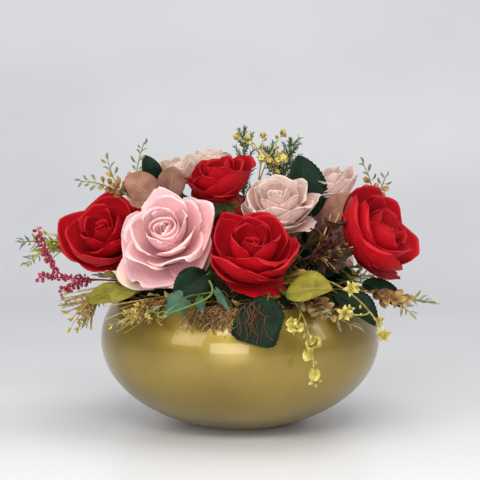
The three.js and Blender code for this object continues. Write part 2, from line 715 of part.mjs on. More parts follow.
// A direction square to a path, turned round it.
function aside(path, t, turn) {
  const along = path.getTangent(t);
  const side = along.clone().cross(up).normalize();
  return side.applyAxisAngle(along, turn);
}

// Each kind of spray dresses its twigs from their bare stretch on.
const dress = {
  frond(path, spray, bare, grow) {
    return [frond(stretch(path, bare), { ...spray, pairs: bare > 0 ? 3 : 2 }, grow)];
  },
  beads(path, spray, bare, grow) {
    return Array.from({ length: spray.count }, (_, i) => {
      const t = lerp(bare, 0.98, i / (spray.count - 1));
      const off = aside(path, t, i * goldenTurn).multiplyScalar(twigRadius * 1.5);
      return bead(path.getPoint(t).add(off), spray.size + grow);
    });
  },
  needles(path, spray, bare, grow) {
    return Array.from({ length: spray.count }, (_, i) => {
      const t = lerp(bare, 0.97, i / (spray.count - 1));
      const base = path.getPoint(t);
      const out = aside(path, t, i * goldenTurn).add(path.getTangent(t)).normalize();
      return needle(base, base.clone().addScaledVector(out, spray.length + grow), 0.9 + grow);
    });
  },
  buds(path, spray, bare, grow) {
    const end = path.getPoint(1);
    const axis = path.getTangent(1);
    const base = end.clone().addScaledVector(axis, -4);
    const out = aside(path, 0.96, 0).add(axis).normalize();
    const leaf = needle(base, base.clone().addScaledVector(out, spray.size * 2.4), 1.2 + grow);
    return [bead(end, spray.size + grow, 1.5, axis), leaf];
  },
  stars(path, spray, bare, grow) {
    const end = path.getPoint(1);
    const facing = vector(spray.face).normalize();
    const side = facing.clone().cross(up).normalize();
    const top = side.clone().cross(facing);
    const rim = Array.from({ length: 10 }, (_, i) => {
      const turn = (Math.PI * i) / 5;
      const reach = spray.size * (i % 2 ? 0.4 : 1);
      return end.clone().addScaledVector(side, reach * Math.cos(turn))
        .addScaledVector(top, reach * Math.sin(turn)).addScaledVector(facing, i % 2 ? 0 : 1.5);
    });
    const faces = rim.map((_, i) => [0, 1 + ((i + 1) % 10), 1 + i]);
    return [sheet([end, ...rim], faces, leafThickness, grow)];
  },
  grass(path, spray, bare, grow) {
    const rows = 4;
    const points = pointsAlong(path, bare, 1, rows).flatMap((point, row) => {
      const side = path.getTangent(lerp(bare, 1, row / rows)).cross(vector(spray.face)).normalize();
      const half = spray.width * lerp(0.5, 0.2, row / rows);
      return [-half, half].map((off) => point.clone().addScaledVector(side, off));
    });
    return [sheet(points, gridFaces(1, rows), leafThickness, grow)];
  },
};

const oval = { kind: 'frond', length: 14, width: 7 };
const slim = { kind: 'frond', length: 16, width: 5 };

// bare is the share of the main stem without leaflets; each twig leaves the main stem at a share
// of its length and ends at its tip; arrive is the main stem's run as it reaches its tip.
const sprays = [
  { name: 'spray_golden_top_left', ...oval, finish: 'goldenSpray', face: [0, -1, 0.3],
    enters: [-178, 54], lift: 50, bare: 0.6, tip: [-149, 0, 226], arrive: [-40, -2, 0],
    twigs: [[0.62, [-124, 8, 246]], [0.5, [-90, 14, 263]]] },
  { name: 'spray_golden_low_left', ...slim, finish: 'goldenSpray', face: [0, -0.7, 0.8],
    enters: [-162, 22], lift: 30, bare: 0.5, tip: [-158, -48, 116], arrive: [-26, -8, -3],
    twigs: [[0.5, [-138, -84, 100]]] },
  { name: 'spray_golden_front_left', ...slim, finish: 'goldenSpray', face: [0.2, -0.7, 0.8],
    enters: [-126, 22], lift: 22, bare: 0.45, tip: [-106, -116, 108], arrive: [-18, -16, -5],
    twigs: [[0.5, [-72, -134, 120]]] },
  { name: 'spray_green_left', ...slim, finish: 'limeSpray', face: [0, -1, 0.3],
    enters: [160, 32], lift: 40, bare: 0.6, tip: [-204, -14, 170], arrive: [-22, -42, -2],
    twigs: [[0.7, [-198, -24, 150]]] },
  { name: 'spray_crimson_left', kind: 'beads', count: 4, size: 3.2, finish: 'crimsonBead',
    enters: [166, 20], lift: 26, bare: 0.6, tip: [-184, -30, 140], arrive: [-34, -30, 6],
    twigs: [[0.7, [-190, 4, 182]], [0.62, [-160, -44, 128]]] },
  { name: 'spray_golden_top_right', ...oval, finish: 'goldenSpray', face: [0, -1, 0.3],
    enters: [14, 38], lift: 45, bare: 0.66, tip: [138, 18, 231], arrive: [8, -10, 34],
    twigs: [[0.72, [117, 30, 243]]] },
  { name: 'spray_golden_low_right', ...oval, finish: 'goldenSpray', face: [0, -0.6, 0.8],
    enters: [-30, 22], lift: 34, bare: 0.5, tip: [168, -62, 120], arrive: [32, -4, -2],
    twigs: [[0.6, [150, -84, 112]]] },
  { name: 'spray_golden_front_right', ...oval, finish: 'goldenSpray', face: [0, -0.8, 0.7],
    enters: [-54, 21], lift: 24, bare: 0.5, tip: [70, -134, 116], arrive: [6, -22, -4],
    twigs: [[0.5, [98, -122, 106]]] },
  { name: 'spray_star_right', kind: 'stars', size: 6.5, finish: 'yellowFloret', face: [0, -1, 0.3],
    enters: [-50, 32], lift: 44, bare: 1, tip: [122, -114, 98], arrive: [10, -10, -30],
    twigs: [[0.62, [94, -118, 138]], [0.7, [88, -126, 118]]] },
  { name: 'spray_star_front', kind: 'stars', size: 7, finish: 'yellowFloret', face: [0, -1, 0.2],
    enters: [-67, 22], lift: 38, bare: 1, tip: [62, -142, 64], arrive: [2, -8, -56],
    twigs: [[0.5, [44, -138, 108]], [0.68, [60, -146, 96]]] },
  { name: 'spray_buds_top', kind: 'buds', size: 3, finish: 'yellowFloret',
    enters: [64, 74], lift: 40, bare: 1, tip: [22, 36, 270], arrive: [1, 2, 34],
    twigs: [[0.72, [-4, 30, 268]], [0.76, [8, 26, 267]], [0.6, [41, 26, 272]]] },
  { name: 'spray_florets_top', kind: 'stars', size: 6, finish: 'goldenSpray', face: [0, -0.6, 0.8],
    enters: [60, 56], lift: 46, bare: 1, tip: [32, 16, 244], arrive: [-2, -22, 18],
    twigs: [[0.8, [22, 16, 250]], [0.8, [40, 20, 248]]] },
  { name: 'spray_needles_left', kind: 'needles', count: 9, length: 10, finish: 'needle',
    enters: [86, 56], lift: 40, bare: 0.4, tip: [4, 50, 272], arrive: [1, -2, 40], twigs: [] },
  { name: 'spray_needles_right', kind: 'needles', count: 5, length: 10, finish: 'needle',
    enters: [48, 58], lift: 40, bare: 0.55, tip: [50, 42, 262], arrive: [8, 4, 34],
    twigs: [[0.6, [28, 54, 256]]] },
  { name: 'grass_right', kind: 'grass', width: 3, finish: 'driedGrass', face: [0.3, -1, 0.4],
    enters: [-34, 44], lift: 26, bare: 0.3, tip: [96, -58, 172], arrive: [12, -10, 8],
    twigs: [[0.4, [84, -70, 150]], [0.5, [90, -38, 198]]] },
  { name: 'spray_golden_back_left', ...oval, finish: 'goldenSpray', face: [0, 0.7, 0.8],
    enters: [146, 21], lift: 30, bare: 0.5, tip: [-140, 92, 128], arrive: [-22, 14, 2],
    twigs: [[0.5, [-112, 118, 120]]] },
  { name: 'spray_green_back', ...slim, finish: 'limeSpray', face: [0, 0.7, 0.8],
    enters: [100, 21], lift: 30, bare: 0.5, tip: [-14, 158, 126], arrive: [-2, 24, 0],
    twigs: [[0.5, [14, 154, 130]]] },
  { name: 'spray_golden_back_right', ...oval, finish: 'goldenSpray', face: [0, 0.7, 0.8],
    enters: [42, 21], lift: 30, bare: 0.5, tip: [124, 104, 124], arrive: [20, 16, 0],
    twigs: [[0.5, [146, 78, 132]]] },
];

const mainSteps = 4;

function sprayStem(spray) {
  const foot = footing(spray.enters);
  const main = arch(foot, spray.lift, vector(spray.tip), vector(spray.arrive));
  const bladed = ['frond', 'grass'].includes(spray.kind);
  const reach = bladed ? Math.min(spray.bare + 0.02, 1) : 1; // the share that is wire
  const twigs = spray.twigs.map(([share, tip]) => {
    const joint = reach * Math.min(Math.round((share / reach) * mainSteps) / mainSteps, 1);
    const start = main.getPoint(joint);
    const end = vector(tip);
    const bend = main.getTangent(joint).multiplyScalar(0.4 * start.distanceTo(end));
    return new THREE.QuadraticBezierCurve3(start, bend.add(start), end);
  });
  return {
    wires: (grow) => [
      stemWire(foot, main, reach, twigRadius, mainSteps, grow),
      ...(bladed ? [] : twigs.map((twig) => wire(pointsAlong(twig, 0, 1, 2), twigRadius + grow))),
    ],
    blades: (grow) => [
      ...dress[spray.kind](main, spray, spray.bare, grow),
      ...twigs.flatMap((twig) => dress[spray.kind](twig, spray, bladed ? 0 : 0.25, grow)),
    ],
  };
}

// ---- Assembly ----

// Each piece keeps its body and its room, which is the body with its gap round it.
const pieces = [
  { name: 'bowl', finish: 'lacquer', body: bowlBody(0), room: bowlBody(gap) },
  { name: 'fibre_collar', finish: 'fibre', body: collarBody(0), room: collarBody(gap) },
];
const holes = []; // in the foam, one for each stem
const simplifyTolerance = 0.1;

// Adds a piece, cut back from the pieces that were there before it. Its wires stand in the foam,
// and its blades stay clear of it.
function settle(name, finish, { wires, blades }) {
  const clear = join(blades(0)).subtract(foamBody(gap));
  let body = join([...wires(0), clear]);
  for (const piece of pieces) body = body.subtract(piece.room);
  body = largest(body).simplify(simplifyTolerance);
  const grown = join([...wires(gap), ...blades(gap)]);
  const room = wires(gap).length > 0 ? grown : hull(grown);
  pieces.push({ name, finish, body, room });
  holes.push(...wires(gap).slice(0, 1));
}

const stemName = (rose) => rose.name.replace('rose', 'stem');

// Adds a rose stem's own leaves where the other pieces leave room for them.
function addStemLeaves(rose) {
  const stem = pieces.find(({ name }) => name === stemName(rose));
  let leaves = join(stemLeaves(rose, 0)).subtract(foamBody(gap));
  for (const piece of pieces) if (piece !== stem) leaves = leaves.subtract(piece.room);
  stem.body = largest(join([stem.body, leaves])).simplify(simplifyTolerance);
  stem.room = join([stem.room, ...stemLeaves(rose, gap)]);
}

for (const rose of roses) {
  const blades = (grow) => bloomSolids(rose, grow).map((body) => placeBloom(body, rose));
  settle(rose.name, rose.finish, { wires: () => [], blades });
}
for (const rose of roses) settle(stemName(rose), 'stem', roseStem(rose));
for (const stem of leafStems) settle(stem.name, stem.finish, leafStem(stem));
for (const spray of sprays) settle(spray.name, spray.finish, sprayStem(spray));
for (const rose of roses) addStemLeaves(rose);

let foam = foamBody(0);
for (const hole of holes) foam = foam.subtract(hole);
pieces.push({ name: 'floral_foam', finish: 'foam', body: largest(foam).simplify(simplifyTolerance) });

const group = new THREE.Group();
for (const { name, finish, body } of pieces) {
  const { numProp, vertProperties, triVerts } = body.getMesh();
  const places = [];
  for (let i = 0; i < vertProperties.length; i += numProp) {
    places.push(...vertProperties.slice(i, i + 3));
  }
  const geometry = new THREE.BufferGeometry();
  geometry.setAttribute('position', new THREE.Float32BufferAttribute(places, 3));
  geometry.setIndex(Array.from(triVerts));
  geometry.computeVertexNormals();
  const mesh = new THREE.Mesh(geometry, finishes[finish]);
  mesh.name = name;
  group.add(mesh);
}

export default group;
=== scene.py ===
"""Looks of a floral table centerpiece: roses, leaves and dried sprays in a low gold bowl.

Metres, +Z up, -Y is the front. Shapes are worked out in millimetres and scaled once, in piece().
"""

import math

import bpy
import numpy as np
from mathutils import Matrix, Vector


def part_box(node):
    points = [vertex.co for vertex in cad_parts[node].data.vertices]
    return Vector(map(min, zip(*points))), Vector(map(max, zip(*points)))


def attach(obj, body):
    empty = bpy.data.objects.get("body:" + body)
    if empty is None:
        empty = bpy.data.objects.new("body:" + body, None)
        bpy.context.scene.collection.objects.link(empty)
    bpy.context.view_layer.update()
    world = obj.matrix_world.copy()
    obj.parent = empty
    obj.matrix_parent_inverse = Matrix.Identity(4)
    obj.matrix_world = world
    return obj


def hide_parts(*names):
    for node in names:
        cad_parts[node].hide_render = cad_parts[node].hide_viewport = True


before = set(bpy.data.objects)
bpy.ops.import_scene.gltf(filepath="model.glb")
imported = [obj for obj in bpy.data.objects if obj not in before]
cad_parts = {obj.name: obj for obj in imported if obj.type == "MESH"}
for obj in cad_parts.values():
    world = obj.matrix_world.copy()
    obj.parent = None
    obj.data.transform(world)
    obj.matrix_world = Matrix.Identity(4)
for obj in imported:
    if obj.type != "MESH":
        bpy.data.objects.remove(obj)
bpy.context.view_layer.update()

MM = 0.001

# ---- Driving sizes, in millimetres ----

BOWL_RADIUS = (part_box("bowl")[1].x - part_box("bowl")[0].x) / 2 / MM
RIM_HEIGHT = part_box("bowl")[1].z / MM - 1
BOWL_HALF_HEIGHT = 84
BELLY_HEIGHT = 80
BOWL_WALL = 2

FOCUS = np.array([0.0, 0.0, 95.0])  # every stem in the foam points at it
FOAM_RADIUS = 88
FOAM_RISE = 60

PETAL_THICKNESS = 0.3
LEAF_THICKNESS = 0.6
LEAFLET_THICKNESS = 0.5
FLORET_THICKNESS = 0.45
SCRAP_THICKNESS = 0.4  # withered leaves, needles and the narrowest petals

# ---- Other shared values ----

GOLDEN_TURN = math.radians(137.5)  # leaves and twigs follow each other round a stem by this
ANY_PHASE = (0, 6.28)  # where a wave may start, in radians
UP = np.array([0.0, 0.0, 1.0])
# Square sides are measured from these. None lies along a stem, so the sides are never undefined.
TUBE_GUIDE = (0.31, 0.17, 0.93)
SOLID_GUIDE = (0.31, 0.93, 0.17)
TWIG_GUIDE = (0.02, 0.01, 1)
STAR_GUIDE = (0.1, 0.05, 1)
SEPAL_GUIDE = (0.05, 0.02, 1)

# ---- Small tools ----


def lerp(a, b, t):
    return a + (b - a) * t


def smoothstep(x, low, high):
    t = np.clip((x - low) / (high - low), 0, 1)
    return t * t * (3 - 2 * t)


def unit(v):
    v = np.asarray(v, float)
    length = np.linalg.norm(v, axis=-1, keepdims=True)
    return v / np.maximum(length, 1e-9)


def direction(azimuth, elevation):
    """Azimuth turns from +X towards +Y, elevation rises from the horizontal."""
    a, e = math.radians(azimuth), math.radians(elevation)
    return np.array([math.cos(e) * math.cos(a), math.cos(e) * math.sin(a), math.sin(e)])


def turned_about(v, axis, angle):
    """v turned about a unit axis."""
    c, s = math.cos(angle), math.sin(angle)
    return v * c + np.cross(axis, v) * s + axis * np.dot(axis, v) * (1 - c)


def bezier(controls, t):
    """Points on a Bezier curve of any number of control points."""
    t = np.asarray(t, float)[:, None]
    degree = len(controls) - 1
    return sum(
        math.comb(degree, k) * (1 - t) ** (degree - k) * t**k * np.asarray(point, float)
        for k, point in enumerate(controls)
    )


def tangents(points):
    return unit(np.gradient(points, axis=0))


def traced(path, steps, start=0.0):
    """Points and directions along a twig, from a share of its length to its end."""
    points = bezier(path, np.linspace(start, 1, steps))
    return points, tangents(points)


# ---- Patches: a closed bit of mesh is (points, faces, {attribute: values}) ----

RIM_SHARE = 0.35  # a sheet's thickness at its edge, as a share of its thickness inside
SIDE_TAPER = 4  # it thins over the last 1 / 4 of its half width
END_TAPER = 5  # and over the last 1 / 5 of its length


def thick_sheet(grid, thickness, **values):
    """A grid of points, rows by columns, as a closed sheet that thins towards its edge.

    The point attributes u and v run across and along it, and every other value is kept as given.
    """
    rows, columns = grid.shape[:2]
    across = np.gradient(grid, axis=1)
    along = np.gradient(grid, axis=0)
    normal = unit(np.cross(across, along))
    u = np.linspace(-1, 1, columns)[None, :].repeat(rows, 0)
    v = np.linspace(0, 1, rows)[:, None].repeat(columns, 1)
    rim = np.minimum((1 - np.abs(u)) * SIDE_TAPER, (1 - v) * END_TAPER)
    half = thickness / 2 * lerp(RIM_SHARE, 1.0, np.clip(rim, 0, 1))[..., None]
    above = (grid + normal * half).reshape(-1, 3)
    below = (grid - normal * half).reshape(-1, 3)
    points = np.concatenate([above, below])
    index = np.arange(rows * columns).reshape(rows, columns)
    corners = [index[:-1, :-1], index[:-1, 1:], index[1:, 1:], index[1:, :-1]]
    top = np.stack(corners, -1).reshape(-1, 4)
    under = top[:, ::-1] + rows * columns
    loop = np.concatenate([index[0, :], index[1:, -1], index[-1, -2::-1], index[-2:0:-1, 0]])
    ahead = np.roll(loop, -1)
    sides = np.stack([ahead, loop, loop + rows * columns, ahead + rows * columns], -1)
    attributes = {"u": np.tile(u.ravel(), 2), "v": np.tile(v.ravel(), 2)}
    attributes["under"] = np.repeat([0.0, 1.0], rows * columns)
    for key, value in values.items():
        attributes[key] = np.tile(np.broadcast_to(value, (rows, columns)).ravel(), 2)
    return points, np.concatenate([top, under, sides]).tolist(), attributes


def ring_faces(index):
    """The four-sided faces between rings of points, given as rows of their numbers."""
    ahead = np.roll(index, -1, axis=1)
    return np.stack([index[:-1], ahead[:-1], ahead[1:], index[1:]], -1).reshape(-1, 4).tolist()


def tube(points, radii, sides=6, **values):
    """A round tube through points, closed at both ends."""
    points = np.asarray(points, float)
    radii = np.broadcast_to(radii, len(points))
    ways = tangents(points)
    side = unit(np.cross(ways[0], TUBE_GUIDE))
    rings = []
    turns = np.arange(sides) * 2 * math.pi / sides
    for point, way, radius in zip(points, ways, radii):
        side = unit(side - way * np.dot(side, way))
        across = np.cross(way, side)
        ring = np.cos(turns)[:, None] * side + np.sin(turns)[:, None] * across
        rings.append(point + radius * ring)
    index = np.arange(len(points) * sides).reshape(len(points), sides)
    faces = ring_faces(index) + [index[0, ::-1].tolist(), index[-1].tolist()]
    attributes = {
        "v": np.linspace(0, 1, len(points)).repeat(sides),
        "u": np.tile(np.cos(turns), len(points)),
    }
    for key, value in values.items():
        attributes[key] = np.full(len(points) * sides, float(value))
    return np.concatenate(rings), faces, attributes


def turned_solid(profile, sides, centre=(0, 0, 0), axis=(0, 0, 1), **values):
    """A profile of [radius, height], from one end of its axis to the other, turned into a solid."""
    axis = unit(axis)
    side = unit(np.cross(axis, SOLID_GUIDE))
    across = np.cross(axis, side)
    profile = np.asarray(profile, float)
    turns = np.arange(sides) * 2 * math.pi / sides
    ring = np.cos(turns)[:, None] * side + np.sin(turns)[:, None] * across
    inner = profile[1:-1]
    points = (inner[:, 0, None, None] * ring + inner[:, 1, None, None] * axis).reshape(-1, 3)
    ends = profile[[0, -1], 1, None] * axis
    points = np.concatenate([points, ends]) + np.asarray(centre, float)
    index = np.arange(len(inner) * sides).reshape(-1, sides)
    ahead = np.roll(index, -1, axis=1)
    faces = ring_faces(index)
    low, high = len(points) - 2, len(points) - 1
    faces += [[low, int(b), int(a)] for a, b in zip(index[0], ahead[0])]
    faces += [[high, int(a), int(b)] for a, b in zip(index[-1], ahead[-1])]
    attributes = {"v": np.append(np.linspace(0, 1, len(inner)).repeat(sides), [0.0, 1.0])}
    for key, value in values.items():
        attributes[key] = np.full(len(points), float(value))
    return points, faces, attributes


def egg(centre, radius, stretch=1.0, axis=(0, 0, 1), sides=8, rings=5, **values):
    """A berry or bud."""
    turns = np.linspace(0, math.pi, rings + 2)
    profile = np.stack([radius * np.sin(turns), -radius * stretch * np.cos(turns)], -1)
    return turned_solid(profile, sides, centre, axis, **values)


def piece(name, patches, materials, *nodes):
    """One object of patches, each with a material number, that stands for CAD nodes."""
    points, faces, numbers, attributes = [], [], [], {}
    count = 0
    for (where, corners, values), number in patches:
        points.append(where)
        faces += [[corner + count for corner in face] for face in corners]
        numbers += [number] * len(corners)
        for key in ("u", "v", "tone", "reach", "under"):
            attributes.setdefault(key, []).append(values.get(key, np.zeros(len(where))))
        count += len(where)
    mesh = bpy.data.meshes.new(name)
    mesh.from_pydata(np.concatenate(points) * MM, [], faces)
    mesh.polygons.foreach_set("use_smooth", [True] * len(mesh.polygons))
    mesh.polygons.foreach_set("material_index", numbers)
    for key, values in attributes.items():
        layer = mesh.attributes.new(key, "FLOAT", "POINT")
        layer.data.foreach_set("value", np.concatenate(values).astype(np.float32))
    for material in materials:
        mesh.materials.append(material)
    mesh.update()
    made = bpy.data.objects.new(name, mesh)
    bpy.context.scene.collection.objects.link(made)
    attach(made, "root")
    if nodes:
        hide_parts(*nodes)
    return made


# ---- Materials ----


def linear(code):
    """An sRGB hex colour as linear RGBA."""
    channels = [int(code[i : i + 2], 16) / 255 for i in (1, 3, 5)]
    return [c / 12.92 if c <= 0.04045 else ((c + 0.055) / 1.055) ** 2.4 for c in channels] + [1]


def scale_for(millimetres):
    """The scale of a noise, in a texture measured in metres, whose marks are this wide."""
    return 1 / (millimetres * MM)


def add(tree, kind, inputs=None, stops=None, **settings):
    """Adds a node with its settings, its inputs (values or sockets) and the stops of a ramp."""
    node = tree.nodes.new("ShaderNode" + kind)
    for key, value in settings.items():
        setattr(node, key, value)
    for key, value in (inputs or {}).items():
        if isinstance(value, bpy.types.NodeSocket):
            tree.links.new(value, node.inputs[key])
        else:
            node.inputs[key].default_value = value
    if stops:
        elements = node.color_ramp.elements
        while len(elements) < len(stops):
            elements.new(0.5)
        for element, (place, code) in zip(elements, stops):
            element.position = place
            element.color = linear(code)
    return node


def new_material(name, settings):
    """A material of one shader, with the settings of the shader's own sockets."""
    material = bpy.data.materials.new(name)
    material.use_nodes = True
    tree = material.node_tree
    tree.nodes.clear()
    shader = add(tree, "BsdfPrincipled", settings)
    add(tree, "OutputMaterial", {"Surface": shader.outputs[0]})
    return material, tree, shader


def silk_petals(name, slot, foot_shade, body, rim, under, pale_rim, sheen, scatter=0.3):
    """Polyester silk, woven, dyed and heat-pressed: matt, with a soft velvety sheen and fine
    pressed creases that run from the foot to the rim. Its colour is drawn darker into the foot as
    painted shade of the bloom's hollows, and lighter at the rim: the pinks' own pale rims, and on
    the red a painted highlight."""
    settings = {
        "Roughness": 0.62,
        "Specular IOR Level": 0.25,
        "Sheen Weight": sheen,
        "Sheen Roughness": 0.45,
        "Sheen Tint": linear(rim),
        "Subsurface Weight": scatter,
        "Subsurface Radius": (0.004, 0.0015, 0.001),
        "Subsurface Scale": 1.0,
    }
    material, tree, shader = new_material(name, settings)
    u = add(tree, "Attribute", attribute_name="u").outputs["Fac"]
    v = add(tree, "Attribute", attribute_name="v").outputs["Fac"]
    tone = add(tree, "Attribute", attribute_name="tone").outputs["Fac"]
    side = add(tree, "Attribute", attribute_name="under").outputs["Fac"]
    place = add(tree, "TexCoord").outputs["Object"]
    # Darker at the foot is painted shade of the hollows between petals; lighter at the rim is the
    # pinks' own pale rim, and on the red a painted highlight.
    foot_to_rim = [(0.0, foot_shade), (0.6, body), (0.92, body), (1.0, rim)]
    along = add(tree, "ValToRGB", {"Fac": v}, foot_to_rim)
    # The dye takes unevenly, in patches about 17 mm wide.
    cloudy = add(tree, "TexNoise", {"Vector": place, "Scale": scale_for(16.7), "Detail": 3.0})
    limits = {"From Min": 0.35, "From Max": 0.65, "To Min": -0.06, "To Max": 0.06}
    patchy = add(tree, "MapRange", {"Value": cloudy.outputs["Fac"], **limits})
    shade = add(tree, "Math", {0: tone, 1: patchy.outputs[0]}, operation="ADD")
    value = add(tree, "Math", {0: shade.outputs[0], 1: 1.0}, operation="ADD")
    half = add(tree, "Math", {0: side, 1: 0.55}, operation="MULTIPLY").outputs[0]
    both_sides = {"Factor": half, "A": along.outputs[0], "B": linear(under)}
    pale = add(tree, "Mix", both_sides, data_type="RGBA")
    # The lowest petals fade to the colour of the sepals towards their rims.
    reach = add(tree, "Attribute", attribute_name="reach").outputs["Fac"]
    near_rim = add(tree, "MapRange", {"Value": v, "From Min": 0.6, "From Max": 1.1}).outputs[0]
    fade = add(tree, "Math", {0: reach, 1: near_rim}, operation="MULTIPLY")
    to_rim = {"Factor": fade.outputs[0], "A": pale.outputs["Result"], "B": linear(pale_rim)}
    faded = add(tree, "Mix", to_rim, data_type="RGBA")
    dyed = {"Color": faded.outputs["Result"], "Value": value.outputs[0]}
    toned = add(tree, "HueSaturation", dyed)
    tree.links.new(toned.outputs[0], shader.inputs["Base Color"])
    # Creases lie across u and run along v, and tone gives each petal its own.
    petal_space = add(tree, "CombineXYZ", {"X": u, "Y": v, "Z": tone})
    lines = add(
        tree, "Mapping", {"Vector": petal_space.outputs[0], "Scale": (9.0, 1.4, 40.0)}
    )
    creased = {"Vector": lines.outputs[0], "Scale": 1.6, "Detail": 4.0, "Roughness": 0.6}
    creases = add(tree, "TexNoise", creased)
    # Threads lie 0.2 mm apart, too fine to show, so the weave is drawn 0.8 mm apart.
    weave = add(tree, "TexNoise", {"Vector": place, "Scale": scale_for(0.833), "Detail": 1.0})
    pressed = {"Height": creases.outputs["Fac"], "Strength": 0.8, "Distance": 0.0016}
    soft = add(tree, "Bump", pressed)
    threads = {"Height": weave.outputs["Fac"], "Strength": 0.25, "Distance": 0.0002}
    woven = add(tree, "Bump", {**threads, "Normal": soft.outputs[0]})
    tree.links.new(woven.outputs[0], shader.inputs["Normal"])
    return material, slot


def pressed_leaf(name, slot, body, light, vein, under, roughness=0.5, veins=7.0):
    """Polyester leaf, printed, wax-coated and pressed in a mould: a pale rib and side veins that
    are sunk into a softly glossy blade."""
    settings = {
        "Roughness": roughness,
        "Specular IOR Level": 0.14,
        "Subsurface Weight": 0.05,
        "Subsurface Radius": (0.001, 0.002, 0.0008),
    }
    material, tree, shader = new_material(name, settings)
    u = add(tree, "Attribute", attribute_name="u").outputs["Fac"]
    v = add(tree, "Attribute", attribute_name="v").outputs["Fac"]
    tone = add(tree, "Attribute", attribute_name="tone").outputs["Fac"]
    side = add(tree, "Attribute", attribute_name="under").outputs["Fac"]
    place = add(tree, "TexCoord").outputs["Object"]
    off = add(tree, "Math", {0: u}, operation="ABSOLUTE").outputs[0]
    slant = add(tree, "Math", {0: off, 1: -0.28, 2: v}, operation="MULTIPLY_ADD").outputs[0]
    steps = add(tree, "Math", {0: slant, 1: veins}, operation="MULTIPLY").outputs[0]
    saw = add(tree, "Math", {0: steps, 1: 0.5}, operation="PINGPONG").outputs[0]
    # Both fall from 1 on the line to 0 beside it.
    branch_limits = {"From Min": 0.0, "From Max": 0.07, "To Min": 1.0, "To Max": 0.0}
    rib_limits = {"From Min": 0.02, "From Max": 0.08, "To Min": 1.0, "To Max": 0.0}
    branch = add(tree, "MapRange", {"Value": saw, **branch_limits})
    rib = add(tree, "MapRange", {"Value": off, **rib_limits})
    lines = add(tree, "Math", {0: branch.outputs[0], 1: 0.4}, operation="MULTIPLY")
    marks = add(tree, "Math", {0: lines.outputs[0], 1: rib.outputs[0]}, operation="MAXIMUM")
    # The print is cloudy, in patches about 11 mm wide.
    cloudy = add(tree, "TexNoise", {"Vector": place, "Scale": scale_for(11.1), "Detail": 4.0})
    print_colours = [(0.32, body), (0.72, light)]
    blade = add(tree, "ValToRGB", {"Fac": cloudy.outputs["Fac"]}, print_colours)
    weight = add(tree, "Math", {0: marks.outputs[0], 1: 0.4}, operation="MULTIPLY").outputs[0]
    to_vein = {"Factor": weight, "A": blade.outputs[0], "B": linear(vein)}
    veined = add(tree, "Mix", to_vein, data_type="RGBA")
    back = add(tree, "Math", {0: side, 1: 0.6}, operation="MULTIPLY")
    to_under = {"Factor": back.outputs[0], "A": veined.outputs["Result"], "B": linear(under)}
    both = add(tree, "Mix", to_under, data_type="RGBA")
    value = add(tree, "Math", {0: tone, 1: 1.0}, operation="ADD")
    printed = {"Color": both.outputs["Result"], "Value": value.outputs[0]}
    toned = add(tree, "HueSaturation", printed)
    tree.links.new(toned.outputs[0], shader.inputs["Base Color"])
    # Cloth grain of 0.3 mm is too fine to show, so it is drawn 1.4 mm wide.
    fine = add(tree, "TexNoise", {"Vector": place, "Scale": scale_for(1.43), "Detail": 2.0})
    sunk = add(tree, "Math", {0: marks.outputs[0], 1: -1.0}, operation="MULTIPLY")
    moulded = {"Height": sunk.outputs[0], "Strength": 0.6, "Distance": 0.0007}
    veins_bump = add(tree, "Bump", moulded)
    cloth = {"Height": fine.outputs["Fac"], "Strength": 0.2, "Distance": 0.0003}
    grain = add(tree, "Bump", {**cloth, "Normal": veins_bump.outputs[0]})
    tree.links.new(grain.outputs[0], shader.inputs["Normal"])
    return material, slot


def dyed_stem(name, slot, stops, roughness=0.6, speckle=0.5, coat=0.0):
    """Moulded polyethylene over wire, dyed and dusted: its colour changes from its root, at reach
    0, to its tips, at reach 1, with small mottles."""
    settings = {"Roughness": roughness, "Specular IOR Level": 0.35, "Coat Weight": coat}
    material, tree, shader = new_material(name, settings)
    reach = add(tree, "Attribute", attribute_name="reach").outputs["Fac"]
    tone = add(tree, "Attribute", attribute_name="tone").outputs["Fac"]
    place = add(tree, "TexCoord").outputs["Object"]
    # The dusting lies in mottles about 4.5 mm wide.
    cloudy = add(tree, "TexNoise", {"Vector": place, "Scale": scale_for(4.55), "Detail": 3.0})
    most = 0.3 * speckle
    limits = {"From Min": 0.3, "From Max": 0.7, "To Min": -most, "To Max": most}
    drift = add(tree, "MapRange", {"Value": cloudy.outputs["Fac"], **limits})
    spot = add(tree, "Math", {0: reach, 1: drift.outputs[0]}, operation="ADD")
    colour = add(tree, "ValToRGB", {"Fac": spot.outputs[0]}, stops)
    value = add(tree, "Math", {0: tone, 1: 1.0}, operation="ADD")
    dusted = {"Color": colour.outputs[0], "Value": value.outputs[0]}
    toned = add(tree, "HueSaturation", dusted)
    tree.links.new(toned.outputs[0], shader.inputs["Base Color"])
    rough_skin = {"Height": cloudy.outputs["Fac"], "Strength": 0.5, "Distance": 0.0005}
    bump = add(tree, "Bump", rough_skin)
    tree.links.new(bump.outputs[0], shader.inputs["Normal"])
    return material, slot


